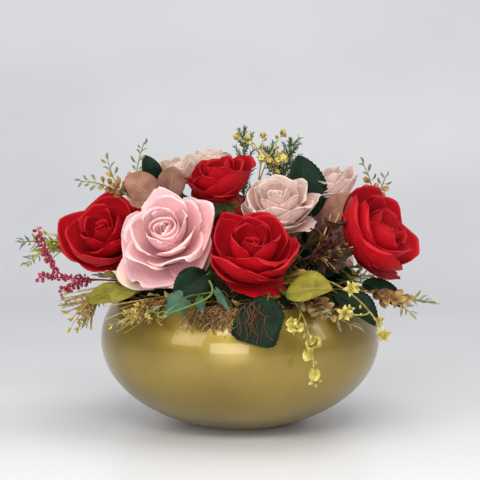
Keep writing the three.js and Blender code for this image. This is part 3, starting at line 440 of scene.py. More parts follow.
def gold_lacquer():
    """Spun steel under champagne-gold metallic lacquer: tiny metal flakes under a clear glossy
    coat, with an almost even surface that bends reflections a little."""
    settings = {
        "Metallic": 0.6,
        "Coat Weight": 0.75,
        "Coat IOR": 1.5,
        "Coat Roughness": 0.06,
        "Coat Tint": linear("#f2f0de"),
    }
    material, tree, shader = new_material("champagne_gold_lacquer", settings)
    place = add(tree, "TexCoord").outputs["Object"]
    # Flakes are 0.05 mm wide, too fine to show, so they are drawn 0.4 mm wide.
    flakes = add(tree, "TexNoise", {"Vector": place, "Scale": scale_for(0.4), "Detail": 1.0})
    # The gold is drawn lighter and darker in clouds about 83 mm wide.
    cloudy = add(tree, "TexNoise", {"Vector": place, "Scale": scale_for(83.3), "Detail": 3.0})
    sprayed = {0: flakes.outputs["Fac"], 1: 0.3, 2: cloudy.outputs["Fac"]}
    mixed = add(tree, "Math", sprayed, operation="MULTIPLY_ADD")
    golds = [(0.35, "#7e6722"), (0.95, "#ab923f")]
    colour = add(tree, "ValToRGB", {"Fac": mixed.outputs[0]}, golds)
    tree.links.new(colour.outputs[0], shader.inputs["Base Color"])
    limits = {"From Min": 0.3, "From Max": 0.7, "To Min": 0.34, "To Max": 0.42}
    rough = add(tree, "MapRange", {"Value": flakes.outputs["Fac"], **limits})
    tree.links.new(rough.outputs[0], shader.inputs["Roughness"])
    # Spinning leaves waves about 60 mm long.
    wavy = add(tree, "TexNoise", {"Vector": place, "Scale": scale_for(62.5), "Detail": 1.0})
    bump = add(tree, "Bump", {"Height": wavy.outputs["Fac"], "Strength": 0.1, "Distance": 0.002})
    tree.links.new(bump.outputs[0], shader.inputs["Normal"])
    tree.links.new(bump.outputs[0], shader.inputs["Coat Normal"])
    return material, "gold_lacquer"


# Petal colours: painted shade at the foot, the body, the rim (the pinks' own pale rim; on the red a
# painted highlight), the back, and the rim of the lowest petals.
RED = ("#3c010a", "#c20a1b", "#d6152a", "#b00716", "#7e8a3c")
PINK = ("#c24c60", "#f9bfc6", "#fde6e0", "#f8cdc9", "#efe8b4")
DUSTY = ("#c4847c", "#edc8bd", "#f5ddd2", "#ecc9bc", "#e6d2ae")
CREAM = ("#bb8474", "#edcdbd", "#f5e1d4", "#eaccba", "#e4d4ac")
red_silk = silk_petals("red_velvet_silk", "red_silk", *RED, sheen=0.06, scatter=0.03)
pink_silk = silk_petals("pale_pink_silk", "pink_silk", *PINK, sheen=0.12, scatter=0.06)
dusty_petal = silk_petals("dusty_preserved_petals", "dusty_petal", *DUSTY, sheen=0.1)
cream_petal = silk_petals("cream_preserved_petals", "cream_petal", *CREAM, sheen=0.1)

# Leaf colours: the print's darks and lights, the veins and the underside.
# The dark greens are drawn darker than the leaves' own green: partly painted shade where these
# leaves lie under the blooms.
DARK_LEAF_AND_SHADE = ("#05150a", "#0b2814", "#22452c", "#122a1a")
OLIVE_LEAF = ("#6a6420", "#9c9236", "#b0a650", "#77733a")
MAUVE_LEAF = ("#78503f", "#a27866", "#b28c79", "#8c6957")
IVY_LEAF = ("#2c4634", "#4c6c52", "#8a9f7c", "#54705a")
dark_leaf = pressed_leaf("dark_green_leaf_and_shade", "dark_leaf", *DARK_LEAF_AND_SHADE)
olive_leaf = pressed_leaf("olive_leaf", "olive_leaf", *OLIVE_LEAF, roughness=0.6)
mauve_leaf = pressed_leaf("dusty_mauve_leaf", "mauve_leaf", *MAUVE_LEAF, roughness=0.7)
ivy_leaf = pressed_leaf("grey_green_ivy", "ivy_leaf", *IVY_LEAF, veins=4.0)

# Spray colours: from the root, at 0, to the tips, at 1.
STEM_GREENS = [(0.0, "#4a5a24"), (0.6, "#66752f"), (1.0, "#8f9a4a")]
GOLDS = [
    (0.0, "#56381e"),
    (0.3, "#8c6436"),
    (0.6, "#ad9450"),
    (0.82, "#75785a"),
    (0.96, "#75785a"),
    (1.0, "#d8cb68"),
]
LIMES = [
    (0.0, "#5c6a2c"),
    (0.45, "#9a9636"),
    (0.65, "#b3ae44"),
    (0.85, "#5d7076"),
    (0.96, "#5d7076"),
    (1.0, "#d2cc66"),
]
CRIMSONS = [(0.0, "#5e0f2a"), (0.5, "#981238"), (0.85, "#b4234e"), (1.0, "#d98a9c")]
NEEDLE_GREENS = [(0.0, "#6a5230"), (0.3, "#3e5a36"), (0.7, "#67804a"), (1.0, "#a9ae74")]
YELLOWS = [
    (0.0, "#5f5a2e"),
    (0.35, "#80682c"),
    (0.6, "#a3903e"),
    (0.8, "#b9ae52"),
    (1.0, "#d0c980"),
]
STRAWS = [(0.0, "#3e1a16"), (0.25, "#56301e"), (0.5, "#7a5629"), (1.0, "#b4985a")]
WOOD_BROWNS = [(0.0, "#45251a"), (0.4, "#74502c"), (0.75, "#a37f4a"), (1.0, "#c6a76c")]
MOSS_BROWNS = [(0.0, "#14160b"), (0.5, "#2b2a14"), (1.0, "#4c4524")]
stem_green = dyed_stem("olive_green_stem", "stem_green", STEM_GREENS)
golden_spray = dyed_stem("golden_dusted_leaflets", "golden_spray", GOLDS)
lime_spray = dyed_stem("yellow_green_leaflets", "lime_spray", LIMES)
crimson_bead = dyed_stem("crimson_dipped_beads", "crimson_bead", CRIMSONS, 0.35, coat=0.4)
needle_green = dyed_stem("dark_needle_twigs", "needle_green", NEEDLE_GREENS)
yellow_floret = dyed_stem("lime_yellow_florets", "yellow_floret", YELLOWS, speckle=0.9)
dried_grass = dyed_stem("straw_grass", "dried_grass", STRAWS)
wood_wool = dyed_stem("brown_wood_wool", "wood_wool", WOOD_BROWNS, 0.75)
foam_moss = dyed_stem("dark_moss", "floral_foam", MOSS_BROWNS, 0.95)
lacquer = gold_lacquer()


def floor_paint():
    """White satin paint on the table top, sprayed and faintly uneven."""
    material, tree, shader = new_material("white_satin_paint", {"Roughness": 0.35})
    place = add(tree, "TexCoord").outputs["Object"]
    # The sprayed coat is uneven over clouds about a third of a metre wide.
    cloudy = add(tree, "TexNoise", {"Vector": place, "Scale": scale_for(333), "Detail": 2.0})
    whites = [(0.3, "#dddee2"), (0.7, "#e3e4e7")]
    colour = add(tree, "ValToRGB", {"Fac": cloudy.outputs["Fac"]}, whites)
    tree.links.new(colour.outputs[0], shader.inputs["Base Color"])
    return material


# ---- Roses ----

# Petal layers from the heart outwards. Lengths are in units of the bloom's radius.
# turns: where its petals stand round the bloom, in degrees
# lean: a petal's angle from the bloom's axis at its foot and at its rim, in degrees
# roll: how much of the rim turns back, and foot: how high the petal starts
# point: how pointed its tip is, from 0.8, pointed, to 2.2, broad
LAYER_VALUES = ("turns", "length", "width", "lean", "roll", "foot", "point")
CUP_LAYERS = [
    ((20, 140, 262), 1.02, 0.4, (44, -18), 0.05, 0.16, 2.0),
    ((80, 205, 318), 1.14, 0.54, (60, -14), 0.07, 0.13, 1.6),
    ((40, 155, 268), 1.3, 0.8, (76, -8), 0.08, 0.1, 1.6),
    ((225, 332, 62, 142), 1.46, 0.95, (90, -4), 0.1, 0.07, 1.3),
    ((268, 180, 355), 1.06, 0.92, (94, 18), 0.03, 0.04, 1.6),
]
LOOSE_PETAL = ((284,), 1.12, 0.7, (100, 34), 0.02, 0.02, 0.8, {"frayed": 2.5})
HANGING_PETAL = ((278,), 1.0, 0.8, (94, 76), 0.01, 0.02, 0.8, {"frayed": 3, "hangs": True})
OPEN_LAYERS = [
    ((10, 130, 250), 0.95, 0.42, (50, -14), 0.05, 0.15, 2.0),
    ((75, 195, 310), 1.04, 0.54, (62, -2), 0.08, 0.12, 1.4),
    ((218, 302), 1.14, 0.72, (74, 12), 0.2, 0.09, 1.2),
    ((150, 60), 1.1, 0.66, (74, 12), 0.14, 0.09, 1.2),
    ((112,), 1.16, 0.5, (84, 30), 0.14, 0.06, 0.9),
    ((42,), 1.12, 0.88, (86, 24), 0.12, 0.06, 2.2),
    ((174,), 1.36, 0.6, (92, 44), 0.2, 0.06, 1.0),
    ((345,), 1.24, 0.66, (94, 48), 0.26, 0.06, 1.1, {"cream": 0.8}),
    ((248,), 1.2, 0.84, (96, 44), 0.12, 0.04, 2.2, {"ruffle": 0.06}),
    ((212, 322), 1.3, 0.7, (100, 44), 0.24, 0.03, 1.5, {"cream": 1.0}),
]
GARDEN_LAYERS = [
    ((0, 90, 180, 270), 0.96, 0.36, (46, -14), 0.04, 0.15, 1.8),
    ((40, 112, 184, 256, 328), 1.06, 0.48, (60, -8), 0.05, 0.12, 1.4),
    ((10, 98, 190, 278), 1.16, 0.66, (74, -2), 0.07, 0.09, 1.2),
    ((240, 322, 54, 140), 1.28, 0.84, (86, 2), 0.08, 0.06, 1.2),
    ((284, 200, 10, 100), 1.2, 0.8, (92, 18), 0.06, 0.04, 1.0),
    ((325, 240), 1.14, 0.6, (98, 48), 0.06, 0.03, 0.9),
]
# name: rows and columns of a petal, the heart's size and turns, its ruffle, and its layers
ROSE_KINDS = {
    "cup": ((22, 19), (0.17, 2.6), 0.024, CUP_LAYERS + [LOOSE_PETAL]),
    # The front rose has one long outer petal that hangs to a frayed point.
    "draped": ((22, 19), (0.17, 2.6), 0.024, CUP_LAYERS + [HANGING_PETAL]),
    "open": ((25, 21), (0.28, 3.6), 0.02, OPEN_LAYERS),
    "garden": ((17, 15), (0.2, 2.8), 0.034, GARDEN_LAYERS),
}
ROLL_RADIUS = 0.018
FOOT_RADIUS = 0.06
FOLD_SLOPE = math.radians(34)  # the rim folds back along lines that fall away at this angle
FOLD_SHARE = 0.55  # how much a fold counts across the petal against along it
MOST_ROLL = 2.5  # the furthest that a rim turns over, in radians
SPIRAL = 0.05  # how far a petal's free side stands off its neighbour's
WIDEST = 0.72  # where a petal is as broad as it gets, as a share of its length
FOOT_WIDTH = 0.16  # its widths at the foot and the rim, as shares of its width there
RIM_WIDTH = 0.84
TIP_DROP = 0.26  # how much shorter it is at its corners than in its middle
FRAY = 0.009
PLEAT_DEPTH = 0.012
HEART_FOOT = 0.1
HEART_HEIGHT = 0.66

# name: kind, size, faces (azimuth, elevation), spin and finish
ROSES = {
    "rose_red_front": ("draped", 88, (-84, 56), 0, red_silk),
    "rose_pink_front": ("open", 98, (-103, 36), 0, pink_silk),
    "rose_red_right": ("cup", 98, (-32, 34), 0, red_silk),
    "rose_red_left": ("cup", 88, (-108, 42), 40, red_silk),
    "rose_red_top": ("cup", 70, (-120, 66), 0, red_silk),
    "rose_dusty_front": ("garden", 88, (-100, 58), 0, dusty_petal),
    "rose_dusty_right": ("garden", 66, (-150, 66), 30, dusty_petal),
    "rose_cream_left": ("garden", 52, (-110, 76), 0, cream_petal),
    "rose_cream_back": ("garden", 56, (110, 70), 50, cream_petal),
    "rose_dusty_back": ("garden", 78, (142, 38), 0, dusty_petal),
    "rose_red_back": ("cup", 84, (96, 36), 15, red_silk),
    "rose_pink_back": ("open", 88, (48, 34), 0, pink_silk),
}


def flat_petal(form, phase, random, rows, columns):
    """A petal cut flat: u, v, and how far each of its points lies across and along it."""
    # Rows lie closer towards the rim, where the petal bends most.
    u, v = np.meshgrid(np.linspace(-1, 1, columns), np.linspace(0, 1, rows) ** 0.75)
    widen = 1 - (1 - np.minimum(v / WIDEST, 1)) ** 2
    narrow = lerp(1, RIM_WIDTH, smoothstep(v, 0.75, 1))
    half = form["width"] * lerp(FOOT_WIDTH, 1.0, widen) * narrow
    broad_wave = np.sin(u * 3.1 + phase[0])
    small_wave = 0.6 * np.sin(u * 7.3 + phase[1])
    wave = form["ruffle"] * (broad_wave + small_wave + 0.35 * np.sin(u * 13 + phase[2]))
    frayed = FRAY * form.get("frayed", 1.0) * random.normal(size=columns)
    drop = 1 - TIP_DROP * v * np.abs(u) ** form["point"]
    along = form["length"] * v * drop + wave * v**3 + frayed * smoothstep(v, 0.93, 1)
    return u, v, u * half, along, wave


def petal_surface(form, turn, random, rows, columns):
    """One petal in a bloom's own frame, in units of its radius, with its rim rolled outwards."""
    phase = random.uniform(*ANY_PHASE, 4)
    u, v, across, along, wave = flat_petal(form, phase, random, rows, columns)
    # How far each point lies past the fold line, which is rounded where it crosses the middle.
    from_middle = np.sqrt(across**2 + 0.004) - 0.063
    past = (along - form["length"]) * math.cos(FOLD_SLOPE)
    past = past + FOLD_SHARE * from_middle * math.sin(FOLD_SLOPE) + form["roll"]
    past = past + FOLD_SHARE * form["roll"] * np.sin(u * 2.4 + phase[2])
    past = np.maximum(past, 0)
    limit = ROLL_RADIUS * MOST_ROLL
    bend = np.minimum(past, limit) / ROLL_RADIUS
    extra = np.maximum(past - limit, 0)
    lost = past - (ROLL_RADIUS * np.sin(bend) + extra * np.cos(bend))
    along = along - lost * math.cos(FOLD_SLOPE)
    across = across - np.sign(across) * lost * math.sin(FOLD_SLOPE) * FOLD_SHARE
    # How far it stands off its own curve: the roll, the spiral, the waves and the pleats.
    off = ROLL_RADIUS * (1 - np.cos(bend)) + extra * np.sin(bend)
    off = off + SPIRAL * u * lerp(0.5, 1, v) + 0.6 * wave * v**2
    off = off + 0.022 * np.sin(4 * along + 3.5 * across + phase[3]) * v
    pleat = np.abs(((across / np.maximum(along, 0.2)) * 2.6 + phase[1]) % 1.0 - 0.5)
    off = off + PLEAT_DEPTH * (pleat - 0.25) * v * (1 - 0.5 * v)
    # The petal leans along an arc from its foot, and wraps round the bloom's axis.
    start, end = (math.radians(a) for a in form["lean"])
    lean = start + (end - start) * along / form["length"]
    curve = form["length"] / (end - start)
    radius = FOOT_RADIUS + curve * (math.cos(start) - np.cos(lean))
    height = form["foot"] + curve * (np.sin(lean) - math.sin(start))
    angle = turn + across / np.maximum(radius, 0.15)
    reach = radius + off * np.cos(lean)
    return np.stack([reach * np.cos(angle), reach * np.sin(angle), height - off * np.sin(lean)], -1)


def rose_heart(size, turns, random, rows=12, columns=64):
    """The petal rolled into an uneven spiral in the middle of a bloom, in units of its radius."""
    t, v = np.meshgrid(np.linspace(0, 1, columns), np.linspace(0, 1, rows))
    angle = turns * 2 * math.pi * t + random.uniform(*ANY_PHASE)
    reach = size * lerp(0.12, 1.0, t) * (0.62 + 0.55 * np.sin(v * 2.2))
    reach = reach * (1 - 0.28 * smoothstep(v, 0.75, 1) * (1 - t))
    reach = reach + 0.03 * smoothstep(v, 0.84, 1) * t
    reach = reach + 0.1 * size * np.sin(2.4 * angle) * smoothstep(t, 0, 0.3)
    height = HEART_FOOT + v * (HEART_HEIGHT + 0.1 * t + 0.045 * np.sin(angle * 1.7))
    return np.stack([reach * np.cos(angle), reach * np.sin(angle), height], -1)


def bloom_frame(faces, spin):
    """The bloom's own axes in the part's frame, as columns."""
    facing = direction(*faces)
    right = unit(np.cross(UP, facing))
    top = np.cross(facing, right)
    turn = math.radians(spin)
    across = right * math.cos(turn) + top * math.sin(turn)
    upward = -right * math.sin(turn) + top * math.cos(turn)
    return np.stack([across, upward, facing], -1)


def own_form(layer, ruffle, random):
    """A layer's values with the small differences of one petal."""
    form = {"ruffle": ruffle, **dict(zip(LAYER_VALUES, layer))}
    form.update(*layer[len(LAYER_VALUES) :])
    form["length"] *= random.uniform(0.96, 1.04)
    form["width"] *= random.uniform(0.94, 1.06)
    form["roll"] *= random.uniform(0.6, 1.35)
    form["lean"] = (form["lean"][0], form["lean"][1] + random.uniform(-6, 6))
    return form


def bloom_patches(kind, size, faces, spin, seed):
    """The petals of one bloom, round its base at the origin, in millimetres."""
    random = np.random.default_rng(seed)
    radius = size / 2
    grid_size, heart_size, ruffle, layers = ROSE_KINDS[kind]
    turn_to = bloom_frame(faces, spin).T
    heart = rose_heart(*heart_size, random) @ turn_to * radius
    patches = [thick_sheet(heart, PETAL_THICKNESS, tone=0.0)]
    for number, layer in enumerate(layers):
        for degrees in layer[0]:
            turn = math.radians(degrees + random.uniform(-7, 7))
            form = own_form(layer, ruffle, random)
            grid = petal_surface(form, turn, random, *grid_size) @ turn_to * radius
            tone = random.uniform(-0.08, 0.08) - 0.1 * (number == 0)
            patch = thick_sheet(grid, PETAL_THICKNESS, tone=tone, reach=form.get("cream", 0.0))
            if form.get("hangs"):
                patch[2]["hangs"] = True
            patches.append(patch)
    return patches


def fitted(patches, node):
    """Patches scaled evenly and moved to fill the box of a CAD node.

    A petal that hangs below its bloom isn't measured, since the node has no petal there.
    """
    low, high = (np.array(corner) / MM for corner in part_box(node))
    points = np.concatenate([where for where, _, values in patches if "hangs" not in values])
    mine_low, mine_high = points.min(0), points.max(0)
    scale = float(np.clip(np.mean((high - low) / (mine_high - mine_low)), 0.85, 1.15))
    middle = (mine_low + mine_high) / 2
    target = (low + high) / 2
    return [((where - middle) * scale + target, faces, values) for where, faces, values in patches]


PRESS = 9.0  # petals flatten over this depth before the plane between two blooms


def squeezed(blooms):
    """Blooms that press on each other: both flatten against the plane between them."""
    centres, radii = {}, {}
    for name, patches in blooms.items():
        points = np.concatenate([patch[0] for patch in patches])
        centres[name] = (points.min(0) + points.max(0)) / 2
        radii[name] = ROSES[name][1] / 2
    done = {}
    for name, patches in blooms.items():
        moved = [where.copy() for where, _, _ in patches]
        for other in blooms:
            gap = centres[other] - centres[name]
            distance = np.linalg.norm(gap)
            if other == name or distance > radii[name] + radii[other]:
                continue
            way = gap / distance
            plane = distance * radii[name] / (radii[name] + radii[other])
            for where in moved:
                depth = (where - centres[name]) @ way - plane
                beyond = depth > -PRESS
                pushed = -PRESS * np.exp(-(depth + PRESS) / PRESS)
                where += np.where(beyond, pushed - depth, 0)[:, None] * way
        done[name] = [(where, *rest) for where, (_, *rest) in zip(moved, patches)]
    return done


blooms = {}
for seed, (name, (kind, size, faces, spin, _)) in enumerate(ROSES.items()):
    blooms[name] = fitted(bloom_patches(kind, size, faces, spin, 20 + seed), name)
for name, patches in squeezed(blooms).items():
    material, slot = ROSES[name][4]
    colour = name[len("rose_") :]
    made = piece("petals_" + colour, [(patch, 0) for patch in patches], [material], name)

# ---- Stems ----

KNOT_SIZE = 0.12  # how far a swelling stands out, as a share of the stem's radius


def footing(enters):
    """Where a stem leaves the foam's dome, and the way it points."""
    out = direction(*enters)
    flat = math.hypot(out[0], out[1])
    return FOCUS + out / math.hypot(flat / FOAM_RADIUS, out[2] / FOAM_RISE), out


def arch(enters, lift, end, arrive):
    """The control points of a stem that springs from the foam and arrives at its end."""
    mouth, out = footing(enters)
    end = np.asarray(end, float)
    return [mouth - out * 3, mouth + out * lift, end - np.asarray(arrive, float), end]


def round_stem(controls, thick, thin, steps=14, sides=8, tone=0.0):
    """A stem along a curve, with faint swellings where leaves once grew."""
    t = np.linspace(0, 1, steps)
    swell = 1 + KNOT_SIZE * np.sin(t * 23) ** 8
    return tube(bezier(controls, t), lerp(thick, thin, t) * swell, sides, tone=tone)


# ---- Leaves ----

VEIN_DEPTH = 0.035  # how deep the side veins are pressed, as a share of a leaf's half width
STALK = 0.03  # the least half width of a blade, as a share of its greatest


def leaf_grid(
    base, tip, face, width, outline, bow=4.0, fold=0.25, size=(30, 9), wave=0.05, phase=0.0
):
    """A leaf's blade: it bows along its rib, folds up along it and waves a little at its edges.

    width is half its breadth, and size is its rows and columns of points.
    """
    base, tip = np.asarray(base, float), np.asarray(tip, float)
    rows, columns = size
    facing = unit(face)
    v = np.linspace(0, 1, rows)
    ribs = bezier([base, (base + tip) / 2 + facing * 2 * bow, tip], v)
    along = tangents(ribs)
    side = unit(np.cross(along, facing))
    raised = np.cross(side, along)
    u = np.linspace(-1, 1, columns)
    v = v[:, None]
    half = outline(v) * width
    lift = np.abs(u) * half * fold + wave * width * np.sin(v * 9 + u * 2.2 + phase) * u**2
    veins = np.abs(np.sin((v - 0.28 * np.abs(u)) * 7 * math.pi))
    lift = lift - VEIN_DEPTH * width * veins * (1 - u**2)
    across = side[:, None] * (u * half)[..., None]
    return ribs[:, None] + across + raised[:, None] * lift[..., None]


def serrated(teeth):
    """Half widths of an oval leaf with teeth that point towards its tip."""

    def outline(v):
        oval = np.sin(math.pi * np.clip(v, 0, 1) ** 0.85) ** 0.75
        tooth = (v * teeth) % 1.0
        return STALK + oval * (0.92 + 0.08 * tooth)

    return outline


def blunt(teeth):
    """Half widths of a broad toothed leaf that ends almost square."""

    def outline(v):
        side = smoothstep(v, -0.25, 0.4)
        end = np.sqrt(np.clip((1 - v) / 0.1, 0, 1))
        tooth = (v * teeth) % 1.0
        return STALK + side * lerp(0.5, 1, end) * (0.92 + 0.08 * tooth)

    return outline


def rounded(v):
    """Half widths of a smooth leaf, broadest past its middle."""
    return STALK + np.sin(math.pi * np.clip(v, 0, 1) ** 1.05) ** 0.72 * 0.98


def spoon(v):
    """Half widths of a small leaflet on its own short stalk."""
    end = np.sqrt(np.clip(1 - ((v - 0.62) / 0.42) ** 2, 0, 1))
    return 0.1 + 0.9 * smoothstep(v, 0.12, 0.5) * end


def willow(v):
    """Half widths of a slender leaflet."""
    return 0.08 + 0.92 * np.sin(math.pi * np.clip(v, 0, 1) ** 0.8) ** 0.9 * (1 - v) ** 0.15


# One side of an ivy leaf: across and along it, in units of its length.
IVY_EDGE = [
    (0.03, -0.04),
    (0.26, -0.16),
    (0.42, -0.08),
    (0.46, 0.1),
    (0.44, 0.2),
    (0.55, 0.36),
    (0.44, 0.5),
    (0.3, 0.6),
    (0.22, 0.78),
    (0.1, 0.92),
    (0, 1),
]
IVY_ROWS = 13


def ivy_grid(base, tip, face, breadth):
    """A shallowly lobed ivy blade, gathered from its foot in a fan."""
    base, tip = np.asarray(base, float), np.asarray(tip, float)
    along = tip - base
    length = np.linalg.norm(along)
    along = along / length
    side = unit(np.cross(along, np.asarray(face, float)))
    raised = np.cross(side, along)
    edge = np.array([(-x, y) for x, y in IVY_EDGE] + IVY_EDGE[-2::-1])
    foot = np.array([0, 0.12])
    t = np.linspace(0.04, 1, IVY_ROWS)[:, None, None]
    flat = foot + (edge - foot) * t
    hollow = 0.22 * (flat**2).sum(-1) - 0.06 * np.abs(flat[..., 0]) * np.sin(flat[..., 1] * 9)
    flat = flat * [breadth, 1]
    blade = side * flat[..., :1] + along * flat[..., 1:] - raised * hollow[..., None]
    return base + blade * length


def tendril(start, way, curl, size):
    """A hair-thin tendril that leaves a stem and winds round into a loop."""
    t = np.linspace(0, 1, 24)[:, None]
    angle = t * 3.4
    way = unit(way)
    side = unit(np.cross(way, curl))
    ahead = way * np.sin(angle) * (1 - 0.5 * t)
    round_it = side * (1 - np.cos(angle)) * (1 - 0.4 * t)
    return np.asarray(start, float) + size * (ahead + round_it)


# name: finish, enters (azimuth, elevation), lift and its leaves: outline, base, tip, face, width
LEAVES = {
    "leaf_front_rim": (dark_leaf, (-78, 20), 22, [
        ("blunt", (24, -120, 130), (10, -141, 94), (-0.1, -1, 0.5), 20)]),
    "leaf_front_olive": (olive_leaf, (-64, 32), 16, [
        ("serrated", (40, -106, 132), (78, -122, 138), (-0.1, -0.75, 0.8), 17)]),
    "leaf_front_dark": (dark_leaf, (-110, 30), 16, [
        ("serrated", (-28, -92, 148), (-56, -122, 128), (0.2, -1, 0.7), 15)]),
    "leaf_right_dark": (dark_leaf, (-42, 26), 18, [
        ("serrated", (84, -72, 130), (118, -102, 104), (0.3, -0.8, 0.8), 15)]),
    "leaf_right_low": (dark_leaf, (-20, 22), 22, [
        ("serrated", (112, -30, 134), (148, -42, 112), (0.1, -0.7, 0.9), 13)]),
    "leaf_left_pair": (olive_leaf, (-148, 28), 18, [
        ("rounded", (-98, -64, 130), (-134, -73, 121), (-0.2, -0.8, 0.8), 12),
        ("rounded", (-92, -72, 132), (-110, -104, 124), (0, -0.7, 0.9), 9)]),
    "leaf_mauve_left": (mauve_leaf, (-172, 60), 20, [
        ("rounded", (-72, -6, 205), (-106, -12, 230), (0, -1, 0.5), 15),
        ("rounded", (-66, -8, 206), (-62, -10, 240), (0.1, -1, 0.3), 13),
        ("rounded", (-70, -12, 203), (-100, -34, 206), (0, -0.8, 0.8), 12)]),
    "leaf_mauve_right": (mauve_leaf, (-4, 48), 20, [
        ("rounded", (76, 0, 186), (104, -10, 212), (0, -1, 0.5), 12)]),
    "leaf_top_dark": (dark_leaf, (10, 60), 20, [
        ("serrated", (68, 14, 192), (56, 19, 250), (0.1, -1, 0.2), 19)]),
    "leaf_top_left": (dark_leaf, (172, 58), 20, [
        ("serrated", (-76, 14, 222), (-90, 8, 250), (0, -1, 0.3), 9)]),
    "leaf_back_left": (dark_leaf, (126, 26), 20, [
        ("serrated", (-60, 104, 140), (-78, 142, 120), (-0.4, 0.8, 0.8), 18),
        ("serrated", (-52, 100, 142), (-40, 148, 128), (0, 0.8, 0.8), 15)]),
    "leaf_back_right": (dark_leaf, (70, 26), 20, [
        ("serrated", (40, 112, 138), (56, 150, 116), (0.2, 0.8, 0.8), 18)]),
    "leaf_back_olive": (olive_leaf, (14, 26), 20, [
        ("serrated", (114, 38, 142), (150, 54, 130), (0.5, 0.3, 0.9), 15),
        ("serrated", (112, 32, 144), (146, 22, 144), (0.5, 0, 0.9), 13)]),
    "ivy_sprig": (ivy_leaf, (-104, 19), 22, [
        ("ivy", (-47, -137, 132), (-63, -143, 120), (0.1, -1, 0.35), 0.95),
        ("ivy", (-20, -131, 138), (-7, -139, 122), (0.5, -1, 0.2), 0.35),
        ("ivy", (-34, -131, 131), (-31, -138, 120), (0, -1, 0.5), 0.6)]),
}
# outline, fold, and rows and columns of points
BLADES = {
    "serrated": (serrated(15), 0.25, (91, 7)),
    "blunt": (blunt(19), 0.12, (91, 7)),
    "rounded": (rounded, 0.18, (30, 9)),
}
IVY_TRAIL = [(-26, -128, 146), (-16, -134, 131), (-32, -146, 131), (-60, -147, 120)]
TENDRILS = [((-0.7, -0.1, 0.8), (0, 1, 0)), ((-0.4, -0.1, -0.9), (0, -1, 0))]  # way and curl


def leaf_patches(enters, lift, leaves, random):
    """The blades (0) and stalks (1) of one leafy stem."""
    patches = []
    ways = [unit(np.subtract(tip, base)) for _, base, tip, _, _ in leaves]
    main = arch(enters, lift, np.add(leaves[0][1], ways[0] * 3), ways[0] * 14)
    patches.append((round_stem(main, 1.3, 0.8), 1))
    fork = bezier(main, [0.6])[0]
    for (_, base, _, _, _), way in zip(leaves[1:], ways[1:]):
        patches.append((round_stem([fork, base, np.add(base, way * 3)], 0.9, 0.6, 9), 1))
    for shape, base, tip, face, width in leaves:
        tone = random.uniform(-0.12, 0.12)
        phase = random.uniform(0, 6)
        if shape == "ivy":
            grid = ivy_grid(base, tip, face, width)
        else:
            outline, fold, size = BLADES[shape]
            grid = leaf_grid(base, tip, face, width, outline, fold=fold, size=size, phase=phase)
        patches.append((thick_sheet(grid, LEAF_THICKNESS, tone=tone), 0))
    if leaves[0][0] == "ivy":
        patches.append((round_stem(IVY_TRAIL, 1.0, 0.8, 24, tone=0.5), 1))
        ahead = unit(np.subtract(IVY_TRAIL[3], IVY_TRAIL[2]))
        for way, curl in TENDRILS:
            hair = tendril(IVY_TRAIL[3] - ahead, way, curl, 7)
            thin = np.linspace(0.55, 0.35, len(hair))
            patches.append((tube(hair, thin, 6, tone=0.9), 1))
    return patches


for seed, (name, ((material, slot), enters, lift, leaves)) in enumerate(LEAVES.items()):
    random = np.random.default_rng(60 + seed)
    patches = leaf_patches(enters, lift, leaves, random)
    made = piece("blades_" + name, patches, [material, stem_green[0]], name)

# ---- Dried and moulded sprays ----

